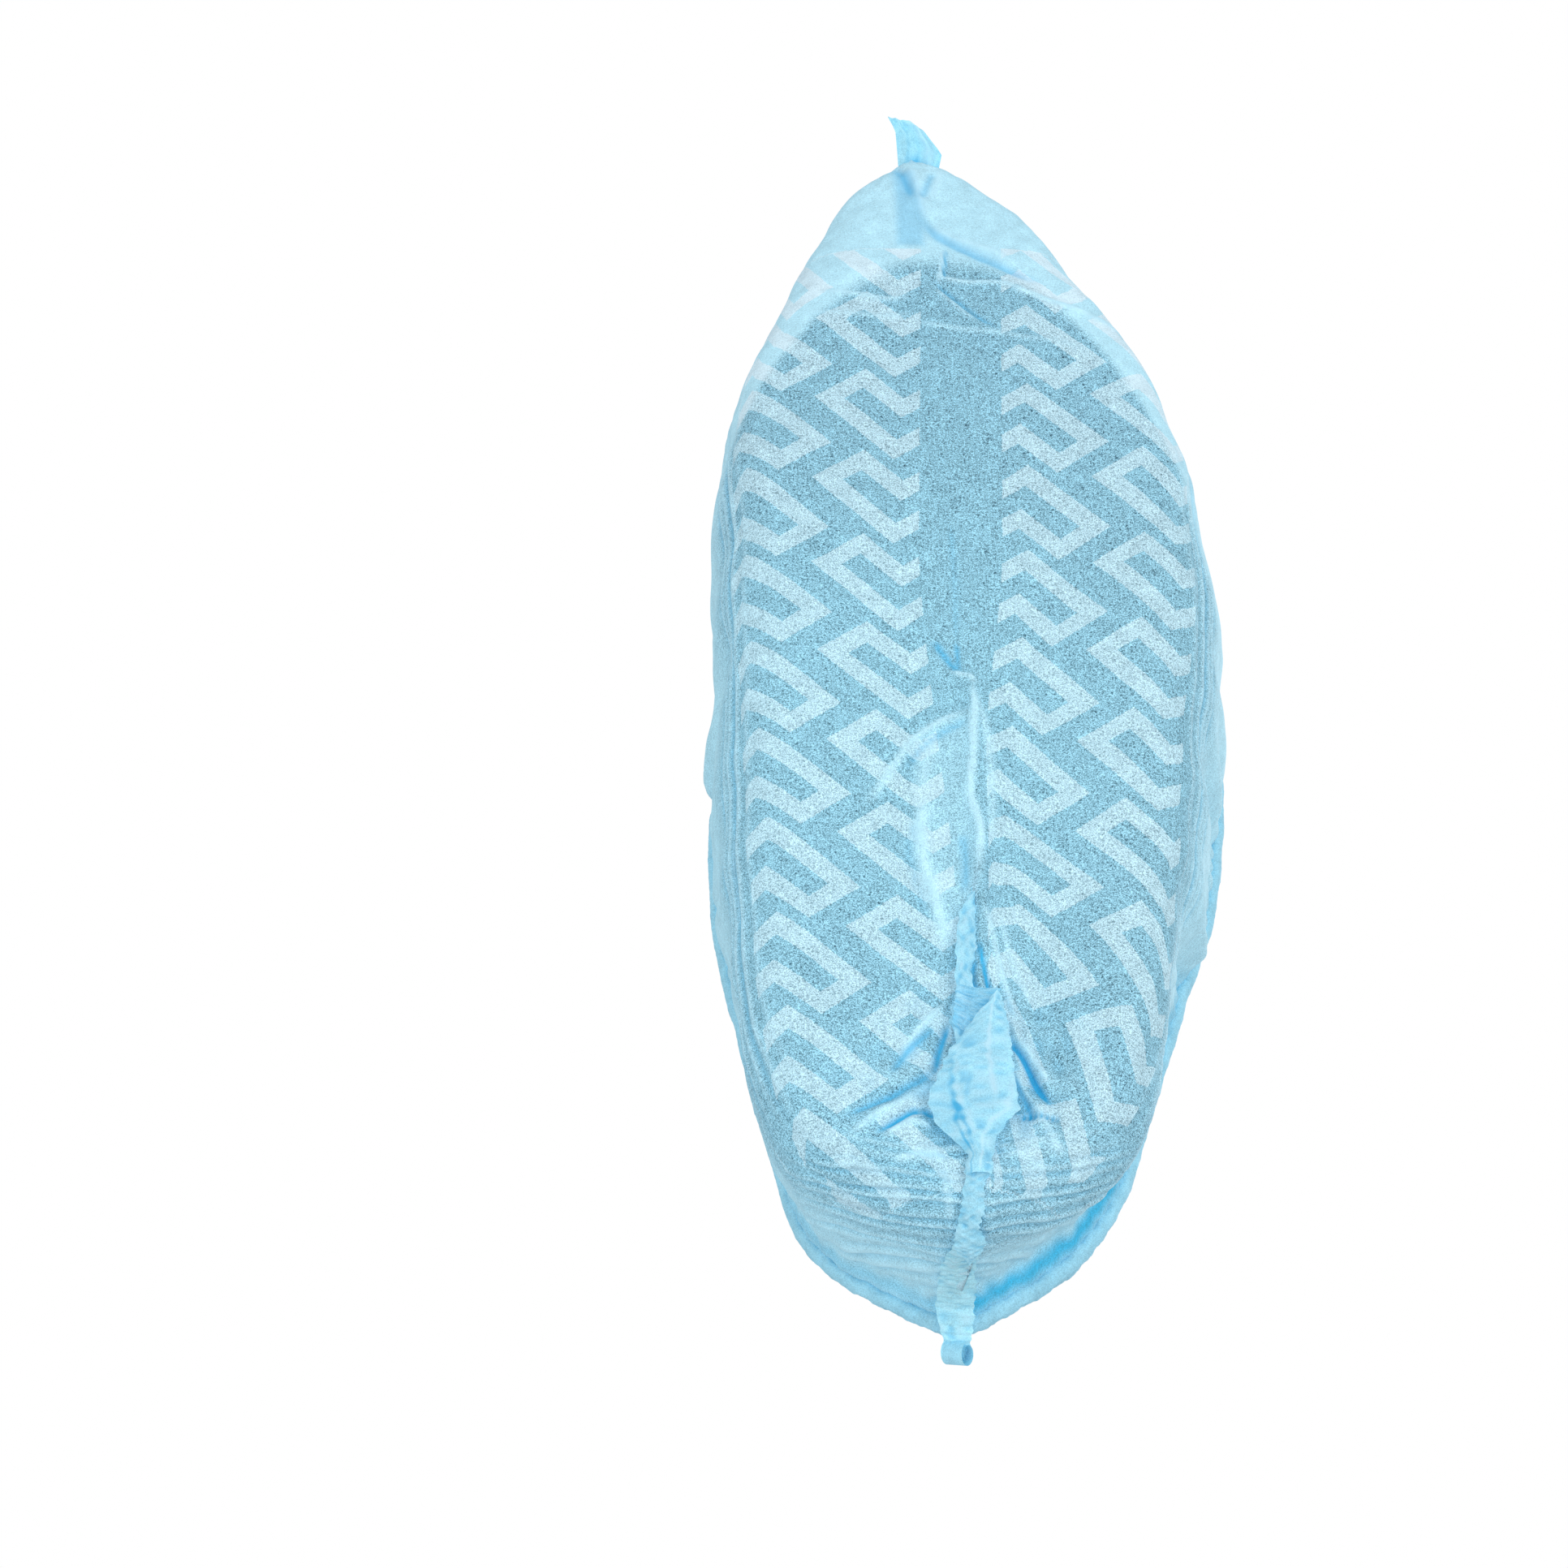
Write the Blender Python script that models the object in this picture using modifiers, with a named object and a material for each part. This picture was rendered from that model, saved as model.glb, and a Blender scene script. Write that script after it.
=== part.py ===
"""Disposable shoe cover of spunbond polypropylene, in the form it has when it is worn.

Frame: metres, +Z up, sole down, toe towards -Y, the wearer's foot seat (inner face of the sole, middle of the
shoe) at the origin. The cover is a sheet folded along the middle of the sole, sewn up across both ends and
gathered into an elastic hem. Heights in RIBS count from the outer face of the sole. Everything below is worked out from the five long lines of that sheet.
"""

import math

import bpy
import numpy as np

MM = 0.001

# ---- driving dimensions, millimetres -------------------------------------------------------------------
WALL = 1.2  # the cloth stands for a wall of this thickness
GAP = 0.35  # clear space between neighbouring pieces
TOE_TIP_Y = -194.0  # front end of the folded sheet, ahead of the shoe's own toe
TOE_TOP_Y = -98.0  # where the toe seam meets the hem, on top of the toe
HEEL_CORNER_Y = 94.0  # where the heel seam starts, under the sole
HEEL_BACK_Y = 151.0  # furthest point of the heel wall
HEM_RADIUS = 2.0  # the rolled hem with the elastic in it
RUFFLE = 0.35  # how much the gathers swell and pinch the hem
RUFFLES = 27  # coarse gathers round the opening
HEM_SIDES = 7
FIN_WIDTH = 9.0  # seam allowance outside the stitching
RIDGE_HEIGHT = 5.0  # the pinched middle fold where it reaches the heel seam
RIDGE_START_Y = -10.0  # where the middle fold begins to stand out of the sole
RIDGE_LENGTH = 100.0  # and how far it takes to reach its full height

# Ribs of the right half, toe to heel. Each rib runs from the middle fold out and up to the hem:
# keel, mid sole, sole edge, above the edge, mid wall, rim. The first and the last lie in the end seams.
RIBS = [
    [(0, TOE_TIP_Y, 11), (0, -194, 13), (0, -192, 18), (0, -185, 28), (0, -144, 63), (0, TOE_TOP_Y, 79)],
    [(0, -173, 6), (13, -173, 7), (24, -172, 12), (29, -165, 26), (26, -139, 59), (14, -95, 78)],
    [(0, -150, 3), (18, -150, 3), (33, -149, 8), (39, -144, 22), (40, -122, 54), (28, -88, 76)],
    [(0, -118, 1), (25, -118, 1), (47, -117, 4), (54, -113, 18), (55, -98, 48), (45, -72, 73)],
    [(0, -72, 0), (29, -72, 0), (54, -72, 2), (61, -71, 15), (64, -64, 42), (61, -46, 70)],
    [(0, -10, 0), (28, -10, 0), (53, -10, 2), (60, -9, 15), (64, -6, 42), (64, -3, 68)],
    [(0, 40, 0), (25, 44, 0), (49, 46, 2), (56, 47, 15), (59, 46, 40), (57, 44, 64)],
    [(0, 70, 0), (22, 86, 0), (45, 92, 2), (51, 92, 14), (52, 88, 38), (46, 84, 60)],
    [(0, 84, 0), (15, 108, 0), (34, 128, 2), (39, 130, 13), (38, 128, 36), (33, 123, 56)],
    [(0, HEEL_CORNER_Y, 0), (0, 122, 0), (0, 145, 3), (0, 150, 14), (0, HEEL_BACK_Y, 35), (0, 148, 54)],
]
STEPS_ALONG = 6  # cells between two ribs
STEPS_ACROSS = [3, 3, 2, 3, 3]  # cells between two neighbouring lines of a rib

# How far the middle of the cover wanders sideways along its length: (Y, sideways).
SWAY = [(-210, -17), (-194, -14), (-150, -6), (-118, -4), (-70, 0), (-10, 1), (40, 0), (90, -2), (130, -1), (170, -1)]

# The middle fold and the heel seam run beside that middle: (Y, sideways).
FOLD_WANDER = [(-210, 0), (-150, 0), (-60, 0), (0, 2), (60, 6), (130, 6), (170, 4)]
FOLD_REACH = 26  # how far from the fold the cloth is pulled along with it

PLEATS = 11  # soft folds down each side wall, from the gathered hem
PLEAT_DEPTH = 1.6


def natural_spline(knots, values, at):
    """Natural cubic spline through values at knots, read at the places in at."""
    knots, values, at = (np.asarray(a, float) for a in (knots, values, at))
    steps = np.diff(knots)
    slopes = np.diff(values, axis=0) / steps[:, None]
    count = len(knots)
    matrix = np.zeros((count, count))
    right = np.zeros_like(values)
    matrix[0, 0] = matrix[-1, -1] = 1
    for i in range(1, count - 1):
        matrix[i, i - 1 : i + 2] = steps[i - 1], 2 * (steps[i - 1] + steps[i]), steps[i]
        right[i] = 6 * (slopes[i] - slopes[i - 1])
    bend = np.linalg.solve(matrix, right)
    cell = np.clip(np.searchsorted(knots, at, side="right") - 1, 0, count - 2)
    h = steps[cell][:, None]
    a = (knots[cell + 1] - at)[:, None] / h
    b = 1 - a
    return (
        a * values[cell]
        + b * values[cell + 1]
        + ((a**3 - a) * bend[cell] + (b**3 - b) * bend[cell + 1]) * h**2 / 6
    )


def smooth_through(points, cells):
    """A smooth line through points, cut into so many cells between each two of them."""
    points = np.asarray(points, float)
    knots = np.r_[0, np.cumsum(np.maximum(np.linalg.norm(np.diff(points, axis=0), axis=1), 1e-6))]
    spots = [knots[0]]
    for i, number in enumerate(cells):
        spots.extend(knots[i] + (knots[i + 1] - knots[i]) * (k + 1) / number for k in range(number))
    return natural_spline(knots, points, spots)


def sideways_at(y, table):
    places, shifts = zip(*table)
    return natural_spline(places, np.array(shifts, float)[:, None], np.atleast_1d(y))[:, 0]


def bump(x, centre, width):
    return np.exp(-(((x - centre) / width) ** 2))


def sheet_grid():
    """The cover's outer face as a grid: rows from toe seam to heel seam, columns from left hem to right hem."""
    ribs = np.array(RIBS, float)
    lines = np.stack(
        [smooth_through(ribs[:, k], [STEPS_ALONG] * (len(ribs) - 1)) for k in range(ribs.shape[1])], axis=1
    )
    rows = []
    for rib in lines:
        whole = np.vstack([rib[:0:-1] * (-1, 1, 1), rib])
        rows.append(smooth_through(whole, STEPS_ACROSS[::-1] + STEPS_ACROSS))
    grid = np.array(rows)
    grid[[0, -1], :, 0] = 0
    add_pleats(grid)
    add_ridge(grid)
    pulled = bump(grid[:, :, 0], 0, FOLD_REACH)
    grid[:, :, 0] += pulled * sideways_at(grid[:, :, 1].ravel(), FOLD_WANDER).reshape(grid.shape[:2])
    grid[:, :, 0] += sideways_at(grid[:, :, 1].ravel(), SWAY).reshape(grid.shape[:2])
    grid[:, :, 2] -= WALL
    return grid


def outward(grid):
    """Unit normals of the grid, pointing out of the cover."""
    along = np.gradient(grid, axis=0)
    across = np.gradient(grid, axis=1)
    normal = np.cross(along, across)
    size = np.linalg.norm(normal, axis=2, keepdims=True)
    return normal / np.maximum(size, 1e-9)


def add_pleats(grid):
    """Soft folds that hang from the gathered hem and die out towards the sole."""
    rows, columns = grid.shape[:2]
    u = np.linspace(0, 1, rows)[:, None]
    v = np.abs(np.linspace(-1, 1, columns))[None, :]
    away_from_seams = np.sin(math.pi * u) ** 0.6
    towards_hem = np.clip((v - 0.5) / 0.5, 0, 1) ** 1.5
    side = np.sign(np.linspace(-1, 1, columns))[None, :]
    wave = np.sin(2 * math.pi * PLEATS * u + 0.9 * side + 1.3 * np.sin(7 * u))
    grid += outward(grid) * (PLEAT_DEPTH * wave * away_from_seams * towards_hem)[:, :, None]


def add_ridge(grid):
    """The middle fold stands out of the sole, more and more towards the heel corner."""
    middle = grid.shape[1] // 2
    y = grid[:, middle, 1]
    height = RIDGE_HEIGHT * np.clip((y - RIDGE_START_Y) / RIDGE_LENGTH, 0, 1) ** 1.4
    grid[:, middle, 2] -= height
    for beside in (-1, 1):
        grid[:, middle + beside, 2] -= 0.25 * height
        grid[:, middle + beside, 0] *= 1 - 0.45 * np.clip(height / RIDGE_HEIGHT, 0, 1)


def clear_scene():
    for thing in list(bpy.data.objects):
        bpy.data.objects.remove(thing, do_unlink=True)


def collection(name):
    made = bpy.data.collections.new(name)
    bpy.context.scene.collection.children.link(made)
    return made


def cloth(name, colour, roughness):
    """A matt non-woven cloth of one colour."""
    material = bpy.data.materials.new(name)
    material.use_nodes = True
    shader = material.node_tree.nodes["Principled BSDF"]
    shader.inputs["Base Color"].default_value = (*colour, 1)
    shader.inputs["Roughness"].default_value = roughness
    shader.inputs["Metallic"].default_value = 0
    return material


def add_object(name, points, faces, material, home):
    mesh = bpy.data.meshes.new(name)
    mesh.from_pydata([tuple(p) for p in np.asarray(points) * MM], [], faces)
    mesh.update()
    mesh.shade_smooth()
    mesh.materials.append(material)
    made = bpy.data.objects.new(name, mesh)
    home.objects.link(made)
    return made


def thicken(thing, thickness, offset):
    shell = thing.modifiers.new("cloth thickness", "SOLIDIFY")
    shell.thickness = thickness * MM
    shell.offset = offset
    shell.use_even_offset = True
    shell.use_quality_normals = True
    return shell


def make_body(grid, material, home):
    """The folded sheet. The two halves of each end row are one row of points, which closes the end seams."""
    rows, columns = grid.shape[:2]
    points, index = [], np.zeros((rows, columns), int)
    for i in range(rows):
        for j in range(columns):
            mirrored = columns - 1 - j
            if i in (0, rows - 1) and mirrored < j:
                index[i, j] = index[i, mirrored]
            else:
                index[i, j] = len(points)
                points.append(grid[i, j])
    faces = [
        (index[i, j], index[i + 1, j], index[i + 1, j + 1], index[i, j + 1])
        for i in range(rows - 1)
        for j in range(columns - 1)
    ]
    body = add_object("cover_body", points, faces, material, home)
    thicken(body, WALL, -1)
    return body


def make_hem(grid, material, home):
    """The rolled hem: a gathered tube that closes round the opening, just above the rim of the sheet."""
    rows, columns = grid.shape[:2]
    left, right = grid[:, 0], grid[:, -1]
    rim = np.vstack([right, left[-2:0:-1]])
    inner = np.vstack([grid[:, -2], grid[-2:0:-1, 1]])
    upward = rim - inner
    upward /= np.linalg.norm(upward, axis=1, keepdims=True)
    upward = upward * 0.5 + (0, 0, 0.5)
    upward /= np.linalg.norm(upward, axis=1, keepdims=True)
    count = len(rim)
    ruffle = HEM_RADIUS + RUFFLE * np.sin(np.arange(count) * 2 * math.pi * RUFFLES / count)
    centre = rim + upward * (HEM_RADIUS + RUFFLE + WALL / 2 + GAP)
    ahead = np.roll(centre, -1, axis=0) - np.roll(centre, 1, axis=0)
    ahead /= np.linalg.norm(ahead, axis=1, keepdims=True)
    sideways = np.cross(ahead, upward)
    sideways /= np.linalg.norm(sideways, axis=1, keepdims=True)
    upright = np.cross(sideways, ahead)
    sides = HEM_SIDES
    points, faces = [], []
    for i in range(count):
        for k in range(sides):
            angle = 2 * math.pi * k / sides
            points.append(
                centre[i] + ruffle[i] * (math.cos(angle) * sideways[i] + math.sin(angle) * upright[i])
            )
    for i in range(count):
        after = (i + 1) % count
        for k in range(sides):
            beside = (k + 1) % sides
            faces.append((i * sides + k, after * sides + k, after * sides + beside, i * sides + beside))
    return add_object("elastic_hem", points, faces, material, home)


def make_fin(name, root, tip, material, home):
    """A seam allowance: a ribbon between the line where it leaves the seam and its free edge."""
    root, tip = np.asarray(root, float), np.asarray(tip, float)
    across = 3
    points = [r + (t - r) * k / across for r, t in zip(root, tip) for k in range(across + 1)]
    width = across + 1
    faces = [
        (i * width + k, i * width + k + 1, (i + 1) * width + k + 1, (i + 1) * width + k)
        for i in range(len(root) - 1)
        for k in range(across)
    ]
    fin = add_object(name, points, faces, material, home)
    thicken(fin, WALL, 0)
    return fin


def make_toe_seam(grid, material, home):
    """The fin over the toe. It is widest at the ear, where the folded corner of the sheet sticks out."""
    middle = grid.shape[1] // 2
    seam = grid[0, middle:]
    ahead = np.gradient(seam, axis=0)
    ahead /= np.linalg.norm(ahead, axis=1, keepdims=True)
    out = np.stack([np.zeros(len(seam)), -ahead[:, 2], ahead[:, 1]], axis=1)
    share = np.linspace(0, 1, len(seam))
    root = seam + out * (GAP + WALL * 0.5)
    lean = np.stack([0.35 * np.sin(9 * share), np.zeros_like(share), np.zeros_like(share)], axis=1)
    width = FIN_WIDTH * (0.72 + 0.55 * bump(share, 0, 0.22))
    tip = root + (out + lean) * width[:, None]
    ear = np.array([(0.0, -3.5, -1.5), (-3.0, -7.0, -3.0)])
    front = root[0] + (0, -0.8, -0.6)
    ear_root = front + ear
    ear_tip = tip[0] + ear * (1.1, 1.0, 0.2)
    root = np.vstack([ear_root[::-1], root[:-1]])
    tip = np.vstack([ear_tip[::-1], tip[:-1]])
    return make_fin("toe_seam", root, tip, material, home)


def make_heel_seam(grid, material, home):
    """The fin of the heel seam. It starts on the ridge under the sole, opens into a flap and narrows to a tail."""
    middle = grid.shape[1] // 2
    seam = grid[-1, middle:]
    ridge = grid[-9:-1, middle]
    line = np.vstack([ridge, seam])
    ahead = np.gradient(line, axis=0)
    ahead /= np.linalg.norm(ahead, axis=1, keepdims=True)
    out = np.stack([np.zeros(len(line)), ahead[:, 2], -ahead[:, 1]], axis=1)
    share = np.linspace(0, 1, len(line))
    start = len(ridge) / len(line)
    width = 2.5 + 11.0 * bump(share, start + 0.14, 0.13) + 4.5 * np.clip(share - start, 0, 1)
    lay = np.radians(20 + 50 * bump(share, start + 0.16, 0.2)) * np.where(share < 0.85, 1, -0.4)
    root = line + out * (GAP + WALL * (0.5 + 0.7 * np.abs(np.sin(lay))))[:, None]
    aside = np.stack([np.sin(lay), np.zeros_like(lay), np.zeros_like(lay)], axis=1)
    tip = root + (out * np.cos(lay)[:, None] + aside) * width[:, None]
    return make_fin("heel_seam", root[:-1], tip[:-1], material, home)


def make_tab(grid, material, home):
    """The crinkled end of the toe seam, folded back where the hem catches it."""
    corner = grid[0, -1]
    across = 6
    folds = 0.8 * np.cos(np.arange(across + 1) * math.pi)
    front = [corner + (-4.5 + 9 * k / across, -4.5, 3.2 + folds[k]) for k in range(across + 1)]
    back = [corner + (-5.5 + 11 * k / across, -14.0, 4.6 + 1.4 * folds[k]) for k in range(across + 1)]
    points = [f + (b - f) * r / 3 for r in range(4) for f, b in zip(front, back)]
    width = across + 1
    faces = [
        (r * width + k, (r + 1) * width + k, (r + 1) * width + k + 1, r * width + k + 1)
        for r in range(3)
        for k in range(across)
    ]
    tab = add_object("toe_tab", points, faces, material, home)
    thicken(tab, WALL, 0)
    return tab


def main():
    clear_scene()
    home = collection("shoe_cover")
    sheet = cloth("spunbond sheet", (0.20, 0.56, 0.78), 0.75)
    hem = cloth("rolled hem", (0.14, 0.50, 0.76), 0.7)
    seam = cloth("seam allowance", (0.32, 0.68, 0.86), 0.75)
    grid = sheet_grid()
    make_body(grid, sheet, home)
    make_hem(grid, hem, home)
    make_toe_seam(grid, seam, home)
    make_heel_seam(grid, seam, home)
    make_tab(grid, seam, home)


main()
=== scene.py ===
# %% [markdown]
# # A disposable shoe cover, built cell by cell
# The cover is one rectangle of spunbond polypropylene. It is folded along the middle of the sole, sewn up
# across both ends and gathered into an elastic hem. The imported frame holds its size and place; this script
# adds the cloth: folds, gathers, seams, the anti-slip print and the look of bonded fibres.

# %% Load the frame
import math

import bmesh
import bpy
import numpy as np
from mathutils import Matrix, Vector


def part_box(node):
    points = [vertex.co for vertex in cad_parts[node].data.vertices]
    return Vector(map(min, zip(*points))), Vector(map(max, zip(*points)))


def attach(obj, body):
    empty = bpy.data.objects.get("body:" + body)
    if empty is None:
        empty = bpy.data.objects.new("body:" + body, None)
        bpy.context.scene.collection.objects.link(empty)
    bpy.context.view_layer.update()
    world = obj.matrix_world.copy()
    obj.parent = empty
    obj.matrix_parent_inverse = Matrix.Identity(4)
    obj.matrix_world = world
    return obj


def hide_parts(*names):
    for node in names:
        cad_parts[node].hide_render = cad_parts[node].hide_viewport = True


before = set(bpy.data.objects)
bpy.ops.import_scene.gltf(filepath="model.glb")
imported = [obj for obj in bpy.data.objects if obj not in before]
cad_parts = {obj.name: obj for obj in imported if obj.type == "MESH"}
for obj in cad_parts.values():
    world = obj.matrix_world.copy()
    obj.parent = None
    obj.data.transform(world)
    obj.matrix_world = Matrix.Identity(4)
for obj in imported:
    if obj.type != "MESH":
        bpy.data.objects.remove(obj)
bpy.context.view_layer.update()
MM = 0.001

# %% [markdown]
# ## The form of the worn sheet
# On the real cover the cloth follows the shoe: flat under the sole, up the sides, over the toe. It could be
# sculpted, or simulated over a shoe, but the form has to fit the frame, so it is lofted: ten ribs run from
# the middle fold out and up to the hem, and a smooth grid goes through them. The first and last rib lie in
# the end seams, where both halves meet. Lengths are in millimetres until the meshes are made.
# +Z is up, the toe points towards -Y and the heel towards +Y.

# %% Ribs and driving sizes
WALL = 1.2  # the frame's wall, whose outer face the cloth follows
TOE_TIP_Y = -194.0
TOE_TOP_Y = -98.0
HEEL_CORNER_Y = 94.0
HEEL_BACK_Y = 151.0

# each rib: middle fold, mid sole, edge of the sole, just above it, mid wall, rim
RIBS = [
    [(0, TOE_TIP_Y, 11), (0, -194, 13), (0, -192, 18), (0, -185, 28), (0, -144, 63), (0, TOE_TOP_Y, 79)],
    [(0, -173, 6), (13, -173, 7), (24, -172, 12), (29, -165, 26), (26, -139, 59), (14, -95, 78)],
    [(0, -150, 3), (18, -150, 3), (33, -149, 8), (39, -144, 22), (40, -122, 54), (28, -88, 76)],
    [(0, -118, 1), (25, -118, 1), (47, -117, 4), (54, -113, 18), (55, -98, 48), (45, -72, 73)],
    [(0, -72, 0), (29, -72, 0), (54, -72, 2), (61, -71, 15), (64, -64, 42), (61, -46, 70)],
    [(0, -10, 0), (28, -10, 0), (53, -10, 2), (60, -9, 15), (64, -6, 42), (64, -3, 68)],
    [(0, 40, 0), (25, 44, 0), (49, 46, 2), (56, 47, 15), (59, 46, 40), (57, 44, 64)],
    [(0, 70, 0), (22, 86, 0), (45, 92, 2), (51, 92, 14), (52, 88, 38), (46, 84, 60)],
    [(0, 84, 0), (15, 108, 0), (34, 128, 2), (39, 130, 13), (38, 128, 36), (33, 123, 56)],
    [(0, HEEL_CORNER_Y, 0), (0, 122, 0), (0, 145, 3), (0, 150, 14), (0, HEEL_BACK_Y, 35), (0, 148, 54)],
]
# how far each cross-section stands to the side, by its place along the foot
SWAY = [
    (-210, -17), (-194, -14), (-150, -6), (-118, -4), (-70, 0),
    (-10, 1), (40, 0), (90, -2), (130, -1), (170, -1),
]
# how far the middle fold strays sideways, and how wide a strip of the sole goes with it
FOLD_WANDER = [(-210, 0), (-150, 0), (-60, 0), (0, 2), (60, 6), (130, 6), (170, 4)]
FOLD_REACH = 26
RIM_LEFT = 5.5  # the rim over the heel is pulled to the left
CELLS_ALONG = 46  # grid cells between two ribs, about 1 mm each
CELLS_ACROSS = [24, 24, 17, 25, 26]  # between two neighbouring points of a rib
print(len(RIBS), "ribs of", len(RIBS[0]), "points for one half of the cover")


# %% [markdown]
# ## Smooth lines
# Cloth under a light pull lies in smooth curves between the places that hold it. A natural cubic spline
# does the same: it goes through every given point and bends as little as it can. Blender's own curves
# would also do, but the grid is needed as numbers, so the spline is solved with NumPy.

# %% Smooth lines through a few points
def natural_spline(knots, values, at):
    """Natural cubic spline through values at knots, read at the places in at."""
    knots, values, at = (np.asarray(a, float) for a in (knots, values, at))
    steps = np.diff(knots)
    slopes = np.diff(values, axis=0) / steps[:, None]
    count = len(knots)
    matrix = np.zeros((count, count))
    right = np.zeros_like(values)
    matrix[0, 0] = matrix[-1, -1] = 1
    for i in range(1, count - 1):
        matrix[i, i - 1 : i + 2] = steps[i - 1], 2 * (steps[i - 1] + steps[i]), steps[i]
        right[i] = 6 * (slopes[i] - slopes[i - 1])
    bend = np.linalg.solve(matrix, right)
    cell = np.clip(np.searchsorted(knots, at, side="right") - 1, 0, count - 2)
    h = steps[cell][:, None]
    a = (knots[cell + 1] - at)[:, None] / h
    b = 1 - a
    return (
        a * values[cell]
        + b * values[cell + 1]
        + ((a**3 - a) * bend[cell] + (b**3 - b) * bend[cell + 1]) * h**2 / 6
    )


def smooth_through(points, cells):
    """A smooth line through points, cut into so many cells between each two of them."""
    points = np.asarray(points, float)
    knots = np.r_[0, np.cumsum(np.maximum(np.linalg.norm(np.diff(points, axis=0), axis=1), 1e-6))]
    spots = [knots[0]]
    for i, number in enumerate(cells):
        spots.extend(knots[i] + (knots[i + 1] - knots[i]) * (k + 1) / number for k in range(number))
    return natural_spline(knots, points, spots)


def curve_value(x, table):
    """A smooth curve through the (place, value) pairs of table, read at x of any shape."""
    places, values = zip(*table)
    x = np.asarray(x, float)
    return natural_spline(places, np.array(values, float)[:, None], x.ravel())[:, 0].reshape(x.shape)


def bump(x, centre, width):
    """1 at centre, falling softly to 0 on both sides of it."""
    return np.exp(-(((x - centre) / width) ** 2))


def unit(vectors):
    """The same directions at length 1."""
    return vectors / np.maximum(np.linalg.norm(vectors, axis=-1, keepdims=True), 1e-9)


def smoothstep(x, low, high):
    """0 below low, 1 above high, and an easy slope between them."""
    t = np.clip((x - low) / (high - low), 0, 1)
    return t * t * (3 - 2 * t)


print("half way between two points of a curve:", curve_value([0.5], [(0, 0), (1, 1), (2, 0)]).round(2))

# %% [markdown]
# ## Loft the sheet
# The ribs are only points, and the cloth is a surface. Blender could skin them, but the folds need a grid
# of even small cells. So each point of a rib is first joined to the same point of the next ribs, then
# every cross-section is mirrored and joined across. Last, the grid is pushed sideways, as it is worn.

# %% Loft the grid
ribs = np.array(RIBS, float)
along_cells = [CELLS_ALONG] * (len(ribs) - 1)
across_cells = CELLS_ACROSS[::-1] + CELLS_ACROSS
lines = np.stack([smooth_through(ribs[:, k], along_cells) for k in range(ribs.shape[1])], axis=1)
both_halves = [np.vstack([rib[:0:-1] * (-1, 1, 1), rib]) for rib in lines]
grid = np.array([smooth_through(rib, across_cells) for rib in both_halves])
grid[[0, -1], :, 0] = 0
grid[:, :, 0] += bump(grid[:, :, 0], 0, FOLD_REACH) * curve_value(grid[:, :, 1], FOLD_WANDER)
grid[:, :, 0] += curve_value(grid[:, :, 1], SWAY)
high_up, over_heel = smoothstep(grid[:, :, 2], 12, 50), smoothstep(grid[:, :, 1], 95, 145)
grid[:, :, 0] -= RIM_LEFT * high_up * over_heel
grid[:, :, 2] -= WALL
ROWS, COLUMNS = grid.shape[:2]
MIDDLE = COLUMNS // 2
print("grid:", ROWS, "rows by", COLUMNS, "columns")

# %% [markdown]
# ## Measures on the sheet
# Folds and patterns follow the cloth and not the room, so each grid point gets places on the sheet: how far
# it is from the middle fold, how far below the hem, and how far along the hem. The print is placed by the
# first of these and by the length of the cover.

# %% Distances along and across the cloth
across_steps = np.linalg.norm(np.diff(grid, axis=1), axis=2)
from_left = np.concatenate([np.zeros((ROWS, 1)), np.cumsum(across_steps, axis=1)], axis=1)
from_fold = from_left - from_left[:, MIDDLE : MIDDLE + 1]
below_hem = np.minimum(from_left, from_left[:, -1:] - from_left)
along_steps = np.linalg.norm(np.diff(grid, axis=0), axis=2)
from_toe = np.concatenate([np.zeros((1, COLUMNS)), np.cumsum(along_steps, axis=0)], axis=0)
side = np.where(np.arange(COLUMNS)[None, :] < MIDDLE, -1.0, 1.0) * np.ones((ROWS, 1))
keel_x = grid[:, MIDDLE, 0][:, None]
X0, Y0, Z0 = (grid[:, :, k].copy() for k in range(3))
under_sole = 1 - smoothstep(Z0, 4, 14)  # 1 on the sole, 0 on the walls
# 0 in the end seams, growing by 1 from rib to rib
in_seams = np.minimum(np.arange(ROWS), np.arange(ROWS)[::-1])[:, None] / CELLS_ALONG
print("hem is", round(from_toe[-1, 0] + from_toe[-1, -1]), "mm round")


# %% [markdown]
# ## Folds
# Thin non-woven does not stretch, so what is too wide for the shoe stands up in folds. They could come from
# a cloth simulation, but here each fold has its place, so they are drawn: a fold is a line on the cloth
# with a height and a width, and the cloth is pushed out along it. Chance gathers come from a fixed seed.
# A crease also changes the colour: painted shade, a deeper blue, in its hollow and where the cloth lies
# double, and a painted highlight on its crest, where the fibres are also opened.

# %% Tools for folds
def outward(points):
    """Unit normals of the grid, pointing out of the cover."""
    return unit(np.cross(np.gradient(points, axis=0), np.gradient(points, axis=1)))


def distance_to(route, x, y):
    """Distance from each place to the smooth line through route, and the share of the line passed there."""
    route = np.asarray(route, float)
    if len(route) > 2:
        route = smooth_through(route, [5] * (len(route) - 1))
    near = np.full(x.shape, 1e9)
    share = np.zeros(x.shape)
    lengths = np.r_[0, np.cumsum(np.linalg.norm(np.diff(route, axis=0), axis=1))]
    for i, (start, end) in enumerate(zip(route, route[1:])):
        step = end - start
        t = np.clip(((x - start[0]) * step[0] + (y - start[1]) * step[1]) / (step @ step), 0, 1)
        gap = np.hypot(x - start[0] - t * step[0], y - start[1] - t * step[1])
        closer = gap < near
        near = np.where(closer, gap, near)
        share = np.where(closer, (lengths[i] + t * (lengths[i + 1] - lengths[i])) / lengths[-1], share)
    return near, share


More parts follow.
